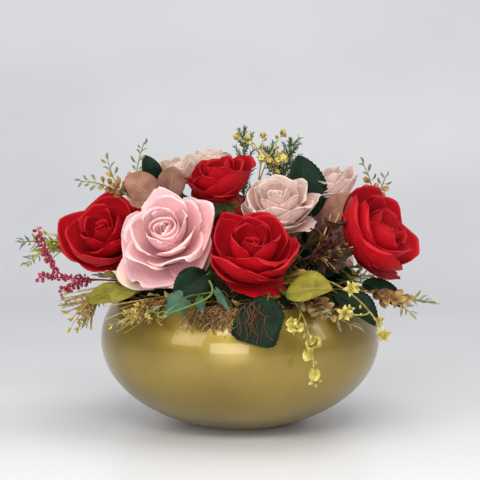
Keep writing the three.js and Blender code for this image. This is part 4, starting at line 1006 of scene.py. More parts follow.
# name: kind, finish, the way its leaflets face, where its stem enters the foam (azimuth,
# elevation) and how far it rises straight, the bare share of the stem,
# the stem's tip, its last stretch, and its twigs: the share where each starts, and its tip
SPRAYS = {
    "spray_golden_top_left": (
        "oval", golden_spray, (0, -1, 0.3), (-178, 54), 50, 0.6,
        (-149, 0, 226), (-40, -2, 0), [(0.62, (-124, 8, 246)), (0.5, (-90, 14, 263))],
    ),
    "spray_golden_low_left": (
        "strawed", golden_spray, (0, -0.7, 0.8), (-162, 22), 30, 0.5,
        (-158, -48, 116), (-26, -8, -3), [(0.5, (-138, -84, 100))],
    ),
    "spray_golden_front_left": (
        "strawed", golden_spray, (0.2, -0.7, 0.8), (-126, 22), 22, 0.45,
        (-106, -116, 108), (-18, -16, -5), [(0.5, (-72, -134, 120))],
    ),
    "spray_green_left": (
        "slim", lime_spray, (0, -1, 0.3), (160, 32), 40, 0.6,
        (-204, -14, 170), (-22, -42, -2), [(0.7, (-198, -24, 150))],
    ),
    "spray_crimson_left": (
        "beads", crimson_bead, (0, -1, 0.3), (166, 20), 26, 0.6,
        (-184, -30, 140), (-34, -30, 6), [(0.7, (-190, 4, 182)), (0.62, (-160, -44, 128))],
    ),
    "spray_golden_top_right": (
        "oval", golden_spray, (0, -1, 0.3), (14, 38), 45, 0.66,
        (138, 18, 231), (8, -10, 34), [(0.72, (117, 30, 243))],
    ),
    "spray_golden_low_right": (
        "papery", golden_spray, (0, -0.6, 0.8), (-30, 22), 34, 0.5,
        (168, -62, 120), (32, -4, -2), [(0.6, (150, -84, 112))],
    ),
    "spray_golden_front_right": (
        "papery", golden_spray, (0, -0.8, 0.7), (-54, 21), 24, 0.5,
        (70, -134, 116), (6, -22, -4), [(0.5, (98, -122, 106))],
    ),
    "spray_star_right": (
        "stars", yellow_floret, (0, -1, 0.3), (-50, 32), 44, 1,
        (122, -114, 98), (10, -10, -30), [(0.62, (94, -118, 138)), (0.7, (88, -126, 118))],
    ),
    "spray_star_front": (
        "blossoms", yellow_floret, (0, -1, 0.2), (-67, 22), 38, 1,
        (62, -142, 64), (2, -8, -56), [(0.5, (44, -138, 108)), (0.68, (60, -146, 96))],
    ),
    "spray_buds_top": (
        "buds", yellow_floret, (0, -1, 0.3), (64, 74), 40, 1,
        (22, 36, 270), (1, 2, 34),
        [(0.72, (-4, 30, 268)), (0.76, (8, 26, 267)), (0.6, (41, 26, 272))],
    ),
    "spray_florets_top": (
        "florets", golden_spray, (0, -0.6, 0.8), (60, 56), 46, 1,
        (32, 16, 244), (-2, -22, 18), [(0.8, (22, 16, 250)), (0.8, (40, 20, 248))],
    ),
    "spray_needles_left": (
        "needles", needle_green, (0, -1, 0.3), (86, 56), 40, 0.4,
        (4, 50, 272), (1, -2, 40), [],
    ),
    "spray_needles_right": (
        "needles", needle_green, (0, -1, 0.3), (48, 58), 40, 0.55,
        (50, 42, 262), (8, 4, 34), [(0.6, (28, 54, 256))],
    ),
    "grass_right": (
        "grass", dried_grass, (0.3, -1, 0.4), (-34, 44), 26, 0.3,
        (96, -58, 172), (12, -10, 8), [(0.4, (84, -70, 150)), (0.5, (90, -38, 198))],
    ),
    "spray_golden_back_left": (
        "papery", golden_spray, (0, 0.7, 0.8), (146, 21), 30, 0.5,
        (-140, 92, 128), (-22, 14, 2), [(0.5, (-112, 118, 120))],
    ),
    "spray_green_back": (
        "slim", lime_spray, (0, 0.7, 0.8), (100, 21), 30, 0.5,
        (-14, 158, 126), (-2, 24, 0), [(0.5, (14, 154, 130))],
    ),
    "spray_golden_back_right": (
        "papery", golden_spray, (0, 0.7, 0.8), (42, 21), 30, 0.5,
        (124, 104, 124), (20, 16, 0), [(0.5, (146, 78, 132))],
    ),
}


def aside(way, turn):
    """A direction square to a twig, turned round it."""
    side = unit(np.cross(way, TWIG_GUIDE))
    return turned_about(side, way, turn)


def stalk_to(start, end, radius, reach, sides=5):
    """A straight stalk of one colour."""
    return tube([start, end], radius, sides, reach=reach)


def shaded(bits, low, share):
    """A tube whose colour moves along it, from low at its start by share at its end."""
    bits[2]["reach"] = low + share * bits[2]["v"]
    return bits


# kind: the spacing of the pairs, the length and breadth of a leaflet, and its outline
LEAFLETS = {
    "oval": (7.0, 10.5, 6.2, spoon),
    "papery": (6.0, 14.5, 8.0, rounded),
    "slim": (6.0, 12.0, 4.2, willow),
    "strawed": (6.0, 12.0, 4.2, willow),
}
LEAFY_STEPS = 40  # points along a leafy twig
NEEDLES_FROM = 0.62  # where leaflets give way to slender bluish ones, as a share of their twig
NEEDLE_HALF = 1.6  # half of their breadth
LEAFLET_SIZE = (12, 5)


def leafy(path, face, bare, random, kind):
    """Leaflets in loose pairs along a twig, that turn to slender bluish needles at its tip."""
    spacing, long, wide, outline = LEAFLETS[kind]
    points, ways = traced(path, LEAFY_STEPS, bare)
    length = np.linalg.norm(np.diff(points, axis=0), axis=1).sum()
    last = 2 * max(3, round(length / spacing))
    patches = []
    for i in range(last + 1):
        share = min((i + 0.5 * (i % 2)) / last, 1) * 0.97
        k = int(share * (LEAFY_STEPS - 1))
        way = ways[k]
        side = unit(np.cross(way, face))
        normal = np.cross(side, way)
        hand = -1 if i % 2 else 1
        needle = share > NEEDLES_FROM
        rise = random.uniform(-0.6, 0.8)
        axis = unit(side * 0.8 * hand + way * random.uniform(0.55, 1.2) + normal * rise)
        if i == last:
            axis = unit(way + 0.1 * side)
        size = lerp(1.0, 0.75, share) * random.uniform(0.75, 1.15)
        turned = turned_about(normal, axis, random.uniform(-1.0, 1.0))
        start = points[k] + axis * 0.3
        end = start + axis * long * size
        half = (NEEDLE_HALF if needle else wide / 2) * size
        grid = leaf_grid(start, end, turned, half, outline, 1.2, 0.35, LEAFLET_SIZE)
        along = np.linspace(-0.25, 0.25, LEAFLET_SIZE[0])[:, None]
        reach = np.clip(share * 0.7 + 0.25 * needle + along, 0, 0.85)
        tone = random.uniform(-0.2, 0.2)
        patches.append(thick_sheet(grid, LEAFLET_THICKNESS, tone=tone, reach=reach))
    return patches


def tuft(centre, way, size, random):
    """A half-open floret: narrow petals, some yellow and some brown, round a small bud."""
    patches = [egg(centre + way * size * 0.25, size * 0.2, 1.5, way, 7, 4, reach=0.5)]
    for k in range(5):
        out = aside(way, k * 1.257 + random.uniform(-0.3, 0.3))
        rise = way * size * random.uniform(0.6, 1.0)
        tip = centre + rise + out * size * random.uniform(0.35, 0.75)
        grid = leaf_grid(centre, tip, out, size * 0.2, willow, -0.4, 0.3, (6, 3))
        tone = random.uniform(-0.25, 0.1)
        reach = random.choice([0.58, 1.4])
        patches.append(thick_sheet(grid, SCRAP_THICKNESS, tone=tone, reach=reach))
    return patches


def strawy(path, face, random, count):
    """Straws that run loosely beside a twig, every fourth with a small pale floret at its end."""
    steps = 14
    points = bezier(path, np.linspace(0, 1, steps))
    patches = []
    for i in range(count):
        drift = random.normal(size=3) * [7, 4, 6]
        line = points[: int(steps * random.uniform(0.75, 1.0))]
        t = np.linspace(0, 1, len(line))
        line = line + drift * (t[:, None] ** 1.3)
        line = line + np.sin(t * 5 + i)[:, None] * [0, 0, 1.2]
        thick = random.uniform(0.45, 1.0)
        bits = tube(line, thick * lerp(1, 0.5, t), 5, tone=random.uniform(-0.1, 0.25))
        patches.append(shaded(bits, 0.2, 0.4))
        if i % 4 == 0:
            ahead = unit(unit(line[-1] - line[-3]) + face * 0.3)
            patches += tuft(line[-1], ahead, random.uniform(4, 6), random)
    return patches


BEADS = 46  # on each twig


def beaded(path, bare, random):
    """Tiny round beads crowded round a twig, each on a hair-thin stalk."""
    patches = []
    for i in range(BEADS):
        t = min(lerp(bare, 1.0, i / (BEADS - 1)) ** 0.9, 0.995)
        point, ahead = bezier(path, [t, min(t + 0.01, 1.0)])
        way = unit(ahead - point + 1e-6)
        out = unit(aside(way, i * GOLDEN_TURN) + way * random.uniform(0.0, 0.9))
        end = point + out * random.uniform(1.5, 4.6)
        size = random.uniform(1.0, 1.9)
        patches.append(stalk_to(point, end, 0.22, 0.3, 4))
        patches.append(egg(end, size, 1.1, out, 9, 5, reach=random.uniform(0.2, 0.95)))
    return patches


SIDE_TWIGS = 20
NEEDLE_ROWS = 4


def needled(path, bare, random):
    """Side twigs round an upright twig, crowded with tiny stiff leaves that pale at their tips."""
    patches = []
    twigs = [bezier(path, np.linspace(bare, 1, 20))]
    for i in range(SIDE_TWIGS):
        share = i / (SIDE_TWIGS - 1)
        t = lerp(bare + 0.02, 0.97, share)
        point, ahead = bezier(path, [t, t + 0.01])
        way = unit(ahead - point)
        out = unit(aside(way, i * GOLDEN_TURN) + way * 0.9)
        long = lerp(19, 8, share) * random.uniform(0.75, 1.15)
        controls = [point, point + out * long * 0.5, point + out * long + way * 3]
        twigs.append(bezier(controls, np.linspace(0, 1, 12)))
    for number, twig in enumerate(twigs):
        stalk = tube(twig, lerp(0.55, 0.25, np.linspace(0, 1, len(twig))), 5)
        patches.append(shaded(stalk, 0, 0.1))
        ways = tangents(twig)
        count = 34 if number == 0 else 17
        for i in range(count):
            k = min(int(lerp(1, len(twig) - 0.01, i / count)), len(twig) - 1)
            out = unit(aside(ways[k], i * GOLDEN_TURN) * 0.8 + ways[k] * 0.8)
            tip = twig[k] + out * random.uniform(3.6, 6.0)
            grid = leaf_grid(twig[k], tip, ways[k], 0.85, willow, 0.3, 0.3, (NEEDLE_ROWS, 3))
            along = np.linspace(0.25, 0.9, NEEDLE_ROWS)[:, None]
            reach = np.clip(along + random.uniform(-0.15, 0.1), 0, 1)
            tone = random.uniform(-0.25, 0.2)
            patches.append(thick_sheet(grid, SCRAP_THICKNESS, tone=tone, reach=reach))
    return patches


STAR_ROWS = 7
TWIG_STEPS = 30  # points along a twig of florets or buds, which stand at some of them


def star(centre, facing, size, random, pointed=True, reach=(0.35, 0.95)):
    """A small five-petalled floret with a button in its middle."""
    facing = unit(facing)
    side = unit(np.cross(facing, STAR_GUIDE))
    outline, width = (willow, 0.3) if pointed else (spoon, 0.42)
    shade = np.linspace(*reach, STAR_ROWS)[:, None]
    patches = []
    turn = random.uniform(0, 1.2)
    for k in range(5):
        axis = turned_about(side, facing, turn + k * 2 * math.pi / 5)
        tip = centre + axis * size + facing * size * 0.12
        grid = leaf_grid(centre, tip, facing, size * width, outline, 0.5, 0.25, (STAR_ROWS, 3))
        tone = random.uniform(-0.1, 0.1)
        patches.append(thick_sheet(grid, FLORET_THICKNESS, tone=tone, reach=shade))
    patches.append(egg(centre + facing * 0.6, size * 0.17, 0.8, facing, 8, 4, reach=0.4))
    return patches


def starry(path, face, random, size):
    """A star at a twig's end, and on side stalks before it one more star and two closed buds."""
    points, ways = traced(path, TWIG_STEPS)
    patches = star(points[-1], face + ways[-1] * 0.3, size, random)
    for k, far, closed in ((24, 6, False), (20, 7, True), (26, 5, True)):
        out = unit(aside(ways[k], random.uniform(0, 6)) + ways[k] * 0.8 + face * 0.7)
        end = points[k] + out * far
        stalk = bezier([points[k], points[k] + out * 2, end], np.linspace(0, 1, 5))
        patches.append(tube(stalk, 0.35, 5, reach=0.25))
        if closed:
            patches.append(egg(end, 1.3, 1.9, out, 9, 5, reach=0.7))
        else:
            patches += star(end, face + out * 0.4, size * 0.72, random)
    return patches


def broad_blossom(path, face, random):
    """Three broad yellow petals that hang round a twig near its end."""
    points, ways = traced(path, TWIG_STEPS)
    patches = []
    for k, hand in ((22, -1), (24, 1), (27, 0)):
        side = unit(np.cross(ways[k], face))
        axis = unit(ways[k] * 0.9 + side * 0.7 * hand + face * 0.25)
        tip = points[k] + axis * 13
        grid = leaf_grid(points[k], tip, face, 4.6, rounded, 1.6, 0.35, (14, 7))
        reach = np.linspace(0.45, 0.85, 14)[:, None]
        tone = random.uniform(-0.06, 0.12)
        patches.append(thick_sheet(grid, LEAFLET_THICKNESS, tone=tone, reach=reach))
    return patches


def budded(path, random):
    """A round bud in a cup of three sepals at a twig's end, and small ones on its side."""
    points, ways = traced(path, TWIG_STEPS)
    end_way = ways[-1]
    patches = [egg(points[-1] - end_way * 0.5, 2.7, 1.25, end_way, 14, 8, reach=0.75)]
    base = points[-1] - end_way * 4
    for k in range(3):
        axis = aside(end_way, k * 2.09)
        tip = base + end_way * 5 + axis * 3.4
        grid = leaf_grid(base, tip, axis, 1.4, willow, 0.6, 0.2, (8, 5))
        patches.append(thick_sheet(grid, SCRAP_THICKNESS, reach=0.1))
    for k in (22, 25, 27):
        out = unit(aside(ways[k], random.uniform(0, 6)) + ways[k])
        end = points[k] + out * random.uniform(3, 5)
        patches.append(stalk_to(points[k], end, 0.3, 0.1))
        size, reach = random.uniform(1.0, 1.6), random.uniform(0.4, 0.9)
        patches.append(egg(end, size, 1.2, out, 10, 6, reach=reach))
    return patches


def floreted(path, face, random):
    """A loose head of small straw-gold florets, every third of them paler."""
    points, ways = traced(path, TWIG_STEPS)
    patches = []
    for i in range(12):
        k = int(random.uniform(19, TWIG_STEPS - 0.1))
        out = unit(aside(ways[k], i * GOLDEN_TURN) + ways[k] * 0.5 + face * 0.4)
        end = points[k] + out * random.uniform(3, 7)
        patches.append(stalk_to(points[k], end, 0.28, 0.3, 4))
        size = random.uniform(3.0, 4.6)
        reach = (0.45, 0.62) if i % 3 else (1.4, 1.4)
        patches += star(end, out + face * 0.5, size, random, i % 2, reach)
    return patches


BLADE_COLUMNS = (-1, -0.5, 0, 0.5, 1)


def grassy(path, face, bare, random, width=2.0, shades=(0.1, 1.0)):
    """Four dried blades, grooved along their middles and twisted a little."""
    steps = 26
    points, ways = traced(path, steps, bare)
    patches = []
    for i in range(4):
        drift = random.normal(size=3) * [6, 4, 5] * (i > 0)
        line = points[: int(steps * (1 - 0.07 * i))]
        line = line + drift * np.linspace(0, 1, len(line))[:, None] ** 1.5
        rows = []
        for k, (point, way) in enumerate(zip(line, ways)):
            side = unit(np.cross(way, face))
            side = turned_about(side, way, 0.5 * math.sin(k * 0.2 + i))
            groove = np.cross(side, way) * 0.35
            half = width * 0.5 * (1 - (k / len(line)) ** 2) ** 0.6 + 0.15
            rows.append([point + (side * u + groove * abs(u)) * half for u in BLADE_COLUMNS])
        reach = np.linspace(*shades, len(line))[:, None]
        tone = random.uniform(-0.1, 0.1)
        patches.append(thick_sheet(np.array(rows), LEAFLET_THICKNESS, tone=tone, reach=reach))
    return patches


def withered(path, face, random):
    """Shrivelled burgundy-brown leaves that curl round a twig."""
    points, ways = traced(path, 20)
    patches = []
    for i in range(12):
        k = int(random.uniform(5, 17))
        away = aside(ways[k], i * GOLDEN_TURN)
        out = unit(away + ways[k] * random.uniform(0, 0.8) + face * 0.3)
        tip = points[k] + out * random.uniform(12, 20)
        half = random.uniform(3, 5)
        bow, fold = random.uniform(-4, 4), random.uniform(0.4, 1.1)
        grid = leaf_grid(points[k], tip, ways[k], half, rounded, bow, fold, (16, 5), wave=0.3)
        tone, reach = random.uniform(-0.3, 0.2), random.uniform(-0.1, 0.3)
        patches.append(thick_sheet(grid, SCRAP_THICKNESS, tone=tone, reach=reach))
    return patches


def dressing(kind, path, face, bare, random):
    """What grows on one twig of a spray."""
    if kind in ("oval", "papery"):
        return leafy(path, face, bare, random, kind)
    if kind == "slim":
        return leafy(path, face, bare, random, kind) + strawy(path, face, random, 5)
    if kind == "strawed":
        leaflets = leafy(path, face, bare, random, kind)
        straws = strawy(path, face, random, 22)
        return leaflets + straws + grassy(path, face, 0.1, random, 3.4, (0.15, 0.6))
    if kind == "beads":
        return beaded(path, bare, random)
    if kind == "needles":
        return needled(path, bare, random)
    if kind == "stars":
        return starry(path, face, random, 7.4)
    if kind == "blossoms":
        return starry(path, face, random, 6.4) + broad_blossom(path, face, random)
    if kind == "buds":
        return budded(path, random)
    if kind == "florets":
        return floreted(path, face, random)
    return grassy(path, face, bare, random) + withered(path, face, random)


STEM_LENGTHS = 4  # the CAD stem is made of these, and its twigs leave it where two meet


def spray_patches(kind, face, enters, lift, bare, tip, arrive, twigs, random):
    """A wire stem, its twigs and what dresses them."""
    face = np.asarray(face, float)
    main = arch(enters, lift, tip, arrive)
    bladed = kind in ("oval", "papery", "slim", "strawed", "grass")
    wire = min(bare + 0.02, 1) if bladed else 1
    paths = [(main, bare)]
    patches = [shaded(round_stem(main, 1.0, 0.5, 22), 0, 0.9)]
    for share, end in twigs:
        joint = wire * min(round(share / wire * STEM_LENGTHS) / STEM_LENGTHS, 1)
        start, ahead = bezier(main, [joint, min(joint + 0.01, 1.0)])
        if joint >= 1:
            start, ahead = bezier(main, [0.99, 1.0])
        way = unit(ahead - start)
        bend = start + way * 0.4 * np.linalg.norm(np.subtract(end, start))
        twig = [start, bend, np.asarray(end, float)]
        paths.append((twig, 0.06 if bladed else 0.3))
        patches.append(shaded(round_stem(twig, 0.8, 0.4, 14), 0.3, 0.65))
    for path, start in paths:
        patches += dressing(kind, path, face, start, random)
    return patches


for seed, (name, (kind, (material, slot), *form)) in enumerate(SPRAYS.items()):
    random = np.random.default_rng(100 + seed)
    patches = spray_patches(kind, *form, random)
    made = piece("dressed_" + name, [(patch, 0) for patch in patches], [material], name)

# ---- Rose stems and sepals ----

SCRAP_STALK = [0.7, 0.6, 0.5]  # radii along the stalk of a small leaf
# The green cup under a bloom: radius and height from the bloom's base.
CALYX = [(0, -11), (2.2, -10.6), (4.4, -8), (5.2, -5.2), (4.6, -2.6), (2.5, -1), (0, -0.6)]
SEPALS = 5
BLOOM_DEPTH = 0.45  # the middle of a bloom above its base, in radii

# name: the middle of each bloom and where its stem enters the foam
ROSE_SEATS = {
    "rose_red_front": ((10, -88, 168), (-84, 36)),
    "rose_pink_front": ((-70, -76, 184), (-136, 40)),
    "rose_red_right": ((130, -20, 179), (-10, 32)),
    "rose_red_left": ((-127, -14, 179), (176, 32)),
    "rose_red_top": ((-18, 8, 224), (150, 74)),
    "rose_dusty_front": ((37, -14, 199), (-24, 62)),
    "rose_dusty_right": ((88, 36, 217), (26, 48)),
    "rose_cream_left": ((-62, 30, 232), (156, 50)),
    "rose_cream_back": ((-30, 68, 238), (112, 62)),
    "rose_dusty_back": ((-100, 66, 186), (142, 34)),
    "rose_red_back": ((-6, 108, 174), (92, 36)),
    "rose_pink_back": ((84, 88, 176), (46, 34)),
}


def rose_stem_patches(name, random):
    """A rose's stem, calyx and sepals (0), and four leaves that fill in under its bloom (1, 2)."""
    _, size, faces, _, _ = ROSES[name]
    centre, enters = ROSE_SEATS[name]
    facing = direction(*faces)
    base = np.asarray(centre, float) - facing * BLOOM_DEPTH * size / 2
    stem = arch(enters, 14, base - facing * 7, facing * 14)
    patches = [round_stem(stem, 1.9, 1.7, 16, 10)]
    patches.append(turned_solid(CALYX, 16, base, facing, reach=0.5))
    side = unit(np.cross(facing, SEPAL_GUIDE))
    for k in range(SEPALS):
        turn = 2 * math.pi * k / SEPALS + random.uniform(-0.15, 0.15)
        axis = turned_about(side, facing, turn)
        start = base - facing * 5 + axis * 3
        end = base + axis * size * 0.2 - facing * random.uniform(8, 13)
        grid = leaf_grid(start, end, -facing + axis * 0.2, 4.6, willow, 1.5, 0.3, (14, 5))
        tone = random.uniform(-0.1, 0.1)
        patches.append(thick_sheet(grid, LEAFLET_THICKNESS, tone=tone, reach=0.5))
    patches = [(patch, 0) for patch in patches]
    points, ways = traced(stem, 30)
    for i, k in enumerate((5, 8, 11, 14)):
        away = aside(ways[k], i * GOLDEN_TURN + random.uniform(-0.3, 0.3))
        out = unit(away + ways[k] * 0.35)
        long = random.uniform(24, 32)
        start = points[k] + out * 3
        patches.append((tube([points[k], start, start + out * 2], SCRAP_STALK), 0))
        face = unit(ways[k] + 0.3 * unit(points[k] - FOCUS))
        tip = start + out * long
        grid = leaf_grid(start, tip, face, long * 0.36, serrated(9), -2.5, size=(28, 5))
        leaf = thick_sheet(grid, LEAF_THICKNESS, tone=random.uniform(-0.2, 0.1))
        patches.append((leaf, 2 if i == 3 else 1))
    return patches


greens = [stem_green[0], dark_leaf[0], olive_leaf[0]]
for seed, name in enumerate(ROSES):
    patches = rose_stem_patches(name, np.random.default_rng(140 + seed))
    colour = name[len("rose_") :]
    made = piece("sepals_" + colour, patches, greens, "stem_" + colour)

# ---- Bowl, foam and wood-wool ----


def bowl_side(height, inset=0.0):
    """The radius of the bowl at a height, or of the surface that lies inset within it."""
    rise = (np.asarray(height, float) - BELLY_HEIGHT) / (BOWL_HALF_HEIGHT - inset)
    return (BOWL_RADIUS - inset) * np.sqrt(np.clip(1 - rise**2, 0, 1))


HOLLOW = 0.6  # how far the middle of the base is pressed up from the table


def bowl_patches():
    """The bowl turned from its profile: a pressed base, the side, a rounded lip and the inside."""
    foot = bowl_side(0)
    base = [(0, HOLLOW), (foot * 0.35, HOLLOW), (foot - 3, 0.5)]
    base += [(foot - 1.6, 0.0), (foot - 0.5, 0.15), (foot, 0.7)]
    outside = [(bowl_side(h), h) for h in np.linspace(1.6, RIM_HEIGHT, 46)]
    middle = (bowl_side(RIM_HEIGHT) + bowl_side(RIM_HEIGHT, BOWL_WALL)) / 2
    lip = [
        (middle + math.cos(a) * BOWL_WALL * 0.56, RIM_HEIGHT + math.sin(a) * BOWL_WALL * 0.5)
        for a in np.linspace(0.3, math.pi - 0.3, 9)
    ]
    inside = [(bowl_side(h, BOWL_WALL), h) for h in np.linspace(RIM_HEIGHT, BOWL_WALL + 3, 30)]
    profile = base + outside + lip + inside + [(8, BOWL_WALL), (0, BOWL_WALL)]
    return [(turned_solid(profile, 144), 0)]


made = piece("polished_bowl", bowl_patches(), [lacquer[0]], "bowl")


WAVES = 9


def lumps(points, size, depth, seed):
    """A soft uneven height for each point, from sums of waves."""
    random = np.random.default_rng(seed)
    total = np.zeros(len(points))
    for _ in range(WAVES):
        way = random.normal(size=3) * 2 * math.pi / (size * random.uniform(0.6, 1.6))
        total += np.sin(points @ way + random.uniform(*ANY_PHASE))
    return total / WAVES * depth


FIBRE_RADIUS = 0.4
FIBRE_STEPS = 9


def strand(start, way, normal, random, length, curl=0.6):
    """One curly fibre that wanders over a surface."""
    points = [start]
    height = random.uniform(-0.5, 1.0)
    for _ in range(FIBRE_STEPS):
        sway = random.normal(size=3) * curl * 0.6
        way = unit(way + sway - normal * np.dot(way, normal) * 0.9)
        height = height * 0.7 + random.normal() * 0.5
        points.append(points[-1] + way * length / FIBRE_STEPS + normal * height * 0.5)
    radii = FIBRE_RADIUS * np.linspace(1, 0.6, FIBRE_STEPS + 1)
    tone, reach = random.uniform(-0.25, 0.2), random.uniform(0, 1)
    return tube(points, radii, 4, tone=tone, reach=reach)


def outward(turn):
    """The level direction away from the bowl's axis, turned from +X towards +Y in radians."""
    return np.array([math.cos(turn), math.sin(turn), 0.0])


COLLAR_INSIDE = FOAM_RADIUS + 0.6
COLLAR_OUTSIDE = float(bowl_side(RIM_HEIGHT, BOWL_WALL)) - 0.6
COLLAR_TOP = 119
COLLAR_SIDES = 220
LOOSE_FIBRES = 600
RIM_FIBRES = 230
LEAF_EVERY = 11  # each eleventh of them lies over the dark rim leaf
DRY_SCRAPS = 38


def packed_ring():
    """The collar's body: a closed ring of packed fibre with a lumpy top."""
    inner, outer = COLLAR_INSIDE, COLLAR_OUTSIDE
    profile = np.array(
        [
            (inner, 98),
            (outer, 98),
            (outer, 110),
            (outer - 1, 116),
            (outer - 6, COLLAR_TOP),
            (lerp(inner, outer, 0.5), COLLAR_TOP + 1.5),
            (inner + 5, COLLAR_TOP),
            (inner, 114),
        ]
    )
    shape = (len(profile), COLLAR_SIDES)
    turns = np.arange(COLLAR_SIDES) * 2 * math.pi / COLLAR_SIDES
    ring = np.stack([np.cos(turns), np.sin(turns)], -1)
    heights = np.broadcast_to(profile[:, None, 1:], (*shape, 1))
    points = np.concatenate([profile[:, None, :1] * ring, heights], -1).reshape(-1, 3)
    bump = lumps(points, 9, 7, 3) + lumps(points, 4, 3, 4)
    points[:, 2] += np.clip(bump, -3, 3.5) * smoothstep(points[:, 2], 108, 118)
    index = np.arange(shape[0] * shape[1]).reshape(shape)
    closed = np.concatenate([index, index[:1]])
    return points, ring_faces(closed), {"reach": np.full(len(points), 0.12)}


def loose_fibre(random):
    """A fibre that curls round on top of the collar and stays inside the rim."""
    turn = random.uniform(0, 2 * math.pi)
    radius = random.uniform(COLLAR_INSIDE - 4, COLLAR_OUTSIDE - 2)
    out = outward(turn)
    round_way = outward(turn + math.pi / 2)
    start = out * radius + [0, 0, random.uniform(117.5, 121)]
    way = unit(round_way * random.choice([-1, 1]) + out * random.normal() * 0.5)
    bits = strand(start, way, UP, random, random.uniform(18, 42))
    far = np.hypot(bits[0][:, 0], bits[0][:, 1])
    bits[0][:, :2] *= np.minimum(1, (COLLAR_OUTSIDE - 0.8) / far)[:, None]
    return bits


def rim_fibre(random, on_leaf):
    """A springy curl that hangs over the rim at the front, or over the dark leaf there."""
    turn = random.normal(-86, 1.6) if on_leaf else random.normal(-100, 7)
    out = outward(math.radians(turn))
    low = COLLAR_TOP - random.uniform(3, 27 if on_leaf else 17)
    start = out * (COLLAR_OUTSIDE + random.uniform(-5, 1)) + [0, 0, 121]
    knee_out = COLLAR_OUTSIDE + random.uniform(4, 12)
    knee = out * knee_out + [random.normal() * 5, 0, 120 + random.uniform(-2, 4)]
    end_out = float(bowl_side(low)) + random.uniform(1.5, 6)
    end = out * end_out + [random.normal() * 8, 0, low]
    if on_leaf:
        knee = out * 130 + [random.normal() * 3, 0, 136]
        end = out * random.uniform(144, 147) + [random.normal() * 6, 0, low]
    t = np.linspace(0, 1, 15)
    angle = t * random.uniform(8, 22) + random.uniform(*ANY_PHASE)
    coil = np.stack([np.cos(angle), 0.5 * np.sin(angle * 0.7), np.sin(angle)], -1)
    coil = (random.uniform(0.8, 2.6) + 0.8 * on_leaf) * coil
    line = bezier([start, knee, end], t) + coil * t[:, None] ** 0.5
    tone, reach = random.uniform(-0.25, 0.15), random.uniform(0.15, 0.95)
    dark = 0.3 if on_leaf else 1
    return tube(line, 0.5 * np.linspace(1, 0.5, len(t)), 4, tone=tone, reach=reach * dark)


def dry_scrap(random, turn):
    """A crumpled dry leaf that lies on the collar."""
    out = outward(turn)
    start = out * (COLLAR_OUTSIDE + random.uniform(-12, 0)) + [0, 0, random.uniform(120, 126)]
    sway = [random.normal() * 0.6, random.normal() * 0.6, random.uniform(-0.2, 0.5)]
    tip = start + unit(out + sway) * random.uniform(14, 24)
    half = random.uniform(3, 5.5)
    bow, fold = random.uniform(-4, 4), random.uniform(0.1, 0.9)
    grid = leaf_grid(start, tip, UP + out * 0.5, half, rounded, bow, fold, (18, 7), wave=0.25)
    tone, reach = random.uniform(-0.2, 0.2), random.uniform(0.1, 0.9)
    return thick_sheet(grid, SCRAP_THICKNESS, tone=tone, reach=reach)


def collar_patches():
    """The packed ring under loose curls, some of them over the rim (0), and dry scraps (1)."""
    random = np.random.default_rng(7)
    patches = [(packed_ring(), 0)]
    patches += [(loose_fibre(random), 0) for _ in range(LOOSE_FIBRES)]
    patches += [(rim_fibre(random, i % LEAF_EVERY == 0), 0) for i in range(RIM_FIBRES)]
    patches += [(dry_scrap(random, i * GOLDEN_TURN), 1) for i in range(DRY_SCRAPS)]
    return patches


made = piece("wood_wool_collar", collar_patches(), [wood_wool[0], golden_spray[0]], "fibre_collar")


BLOOM_CORE = 0.46  # the radius that a bloom's petals fill, as a share of its size


def pokes_a_bloom(points):
    """True when a scrap of leaf would come through the petals of a rose."""
    return any(
        np.linalg.norm(points - centre, axis=-1).min() < BLOOM_CORE * ROSES[name][1]
        for name, (centre, _) in ROSE_SEATS.items()
    )


RIM_SCRAPS = 140
SCRAPS_REACH = 136  # no tip of a scrap lies further than this from the bowl's axis
HANG_FROM = 122  # nearer the axis than this, a tip stays above the rim
LOWEST_INSIDE = 122.0  # the lowest that a tip lies there
LOWEST_PAST = 114.0  # and further out, where it may hang
# A kind of scrap: how often it comes, and the number of its material below.
SCRAP_SHARES = [0.5, 0.16, 0.22, 0.12]
SCRAP_MATERIALS = (0, 1, 2, 4)
STALK_MATERIAL = 3


def scrap_grid(kind, base, tip, face, long, random):
    """The blade of a scrap: a toothed green leaf, or a narrow crumpled dried one."""
    if kind < 2:
        bow = random.uniform(1, 5)
        return leaf_grid(base, tip, face, long * 0.34, serrated(9), bow, size=(28, 5))
    half = long * random.uniform(0.16, 0.26)
    bow, fold = random.uniform(-3, 5), random.uniform(0.2, 0.9)
    return leaf_grid(base, tip, face, half, rounded, bow, fold, (16, 5), wave=0.2)


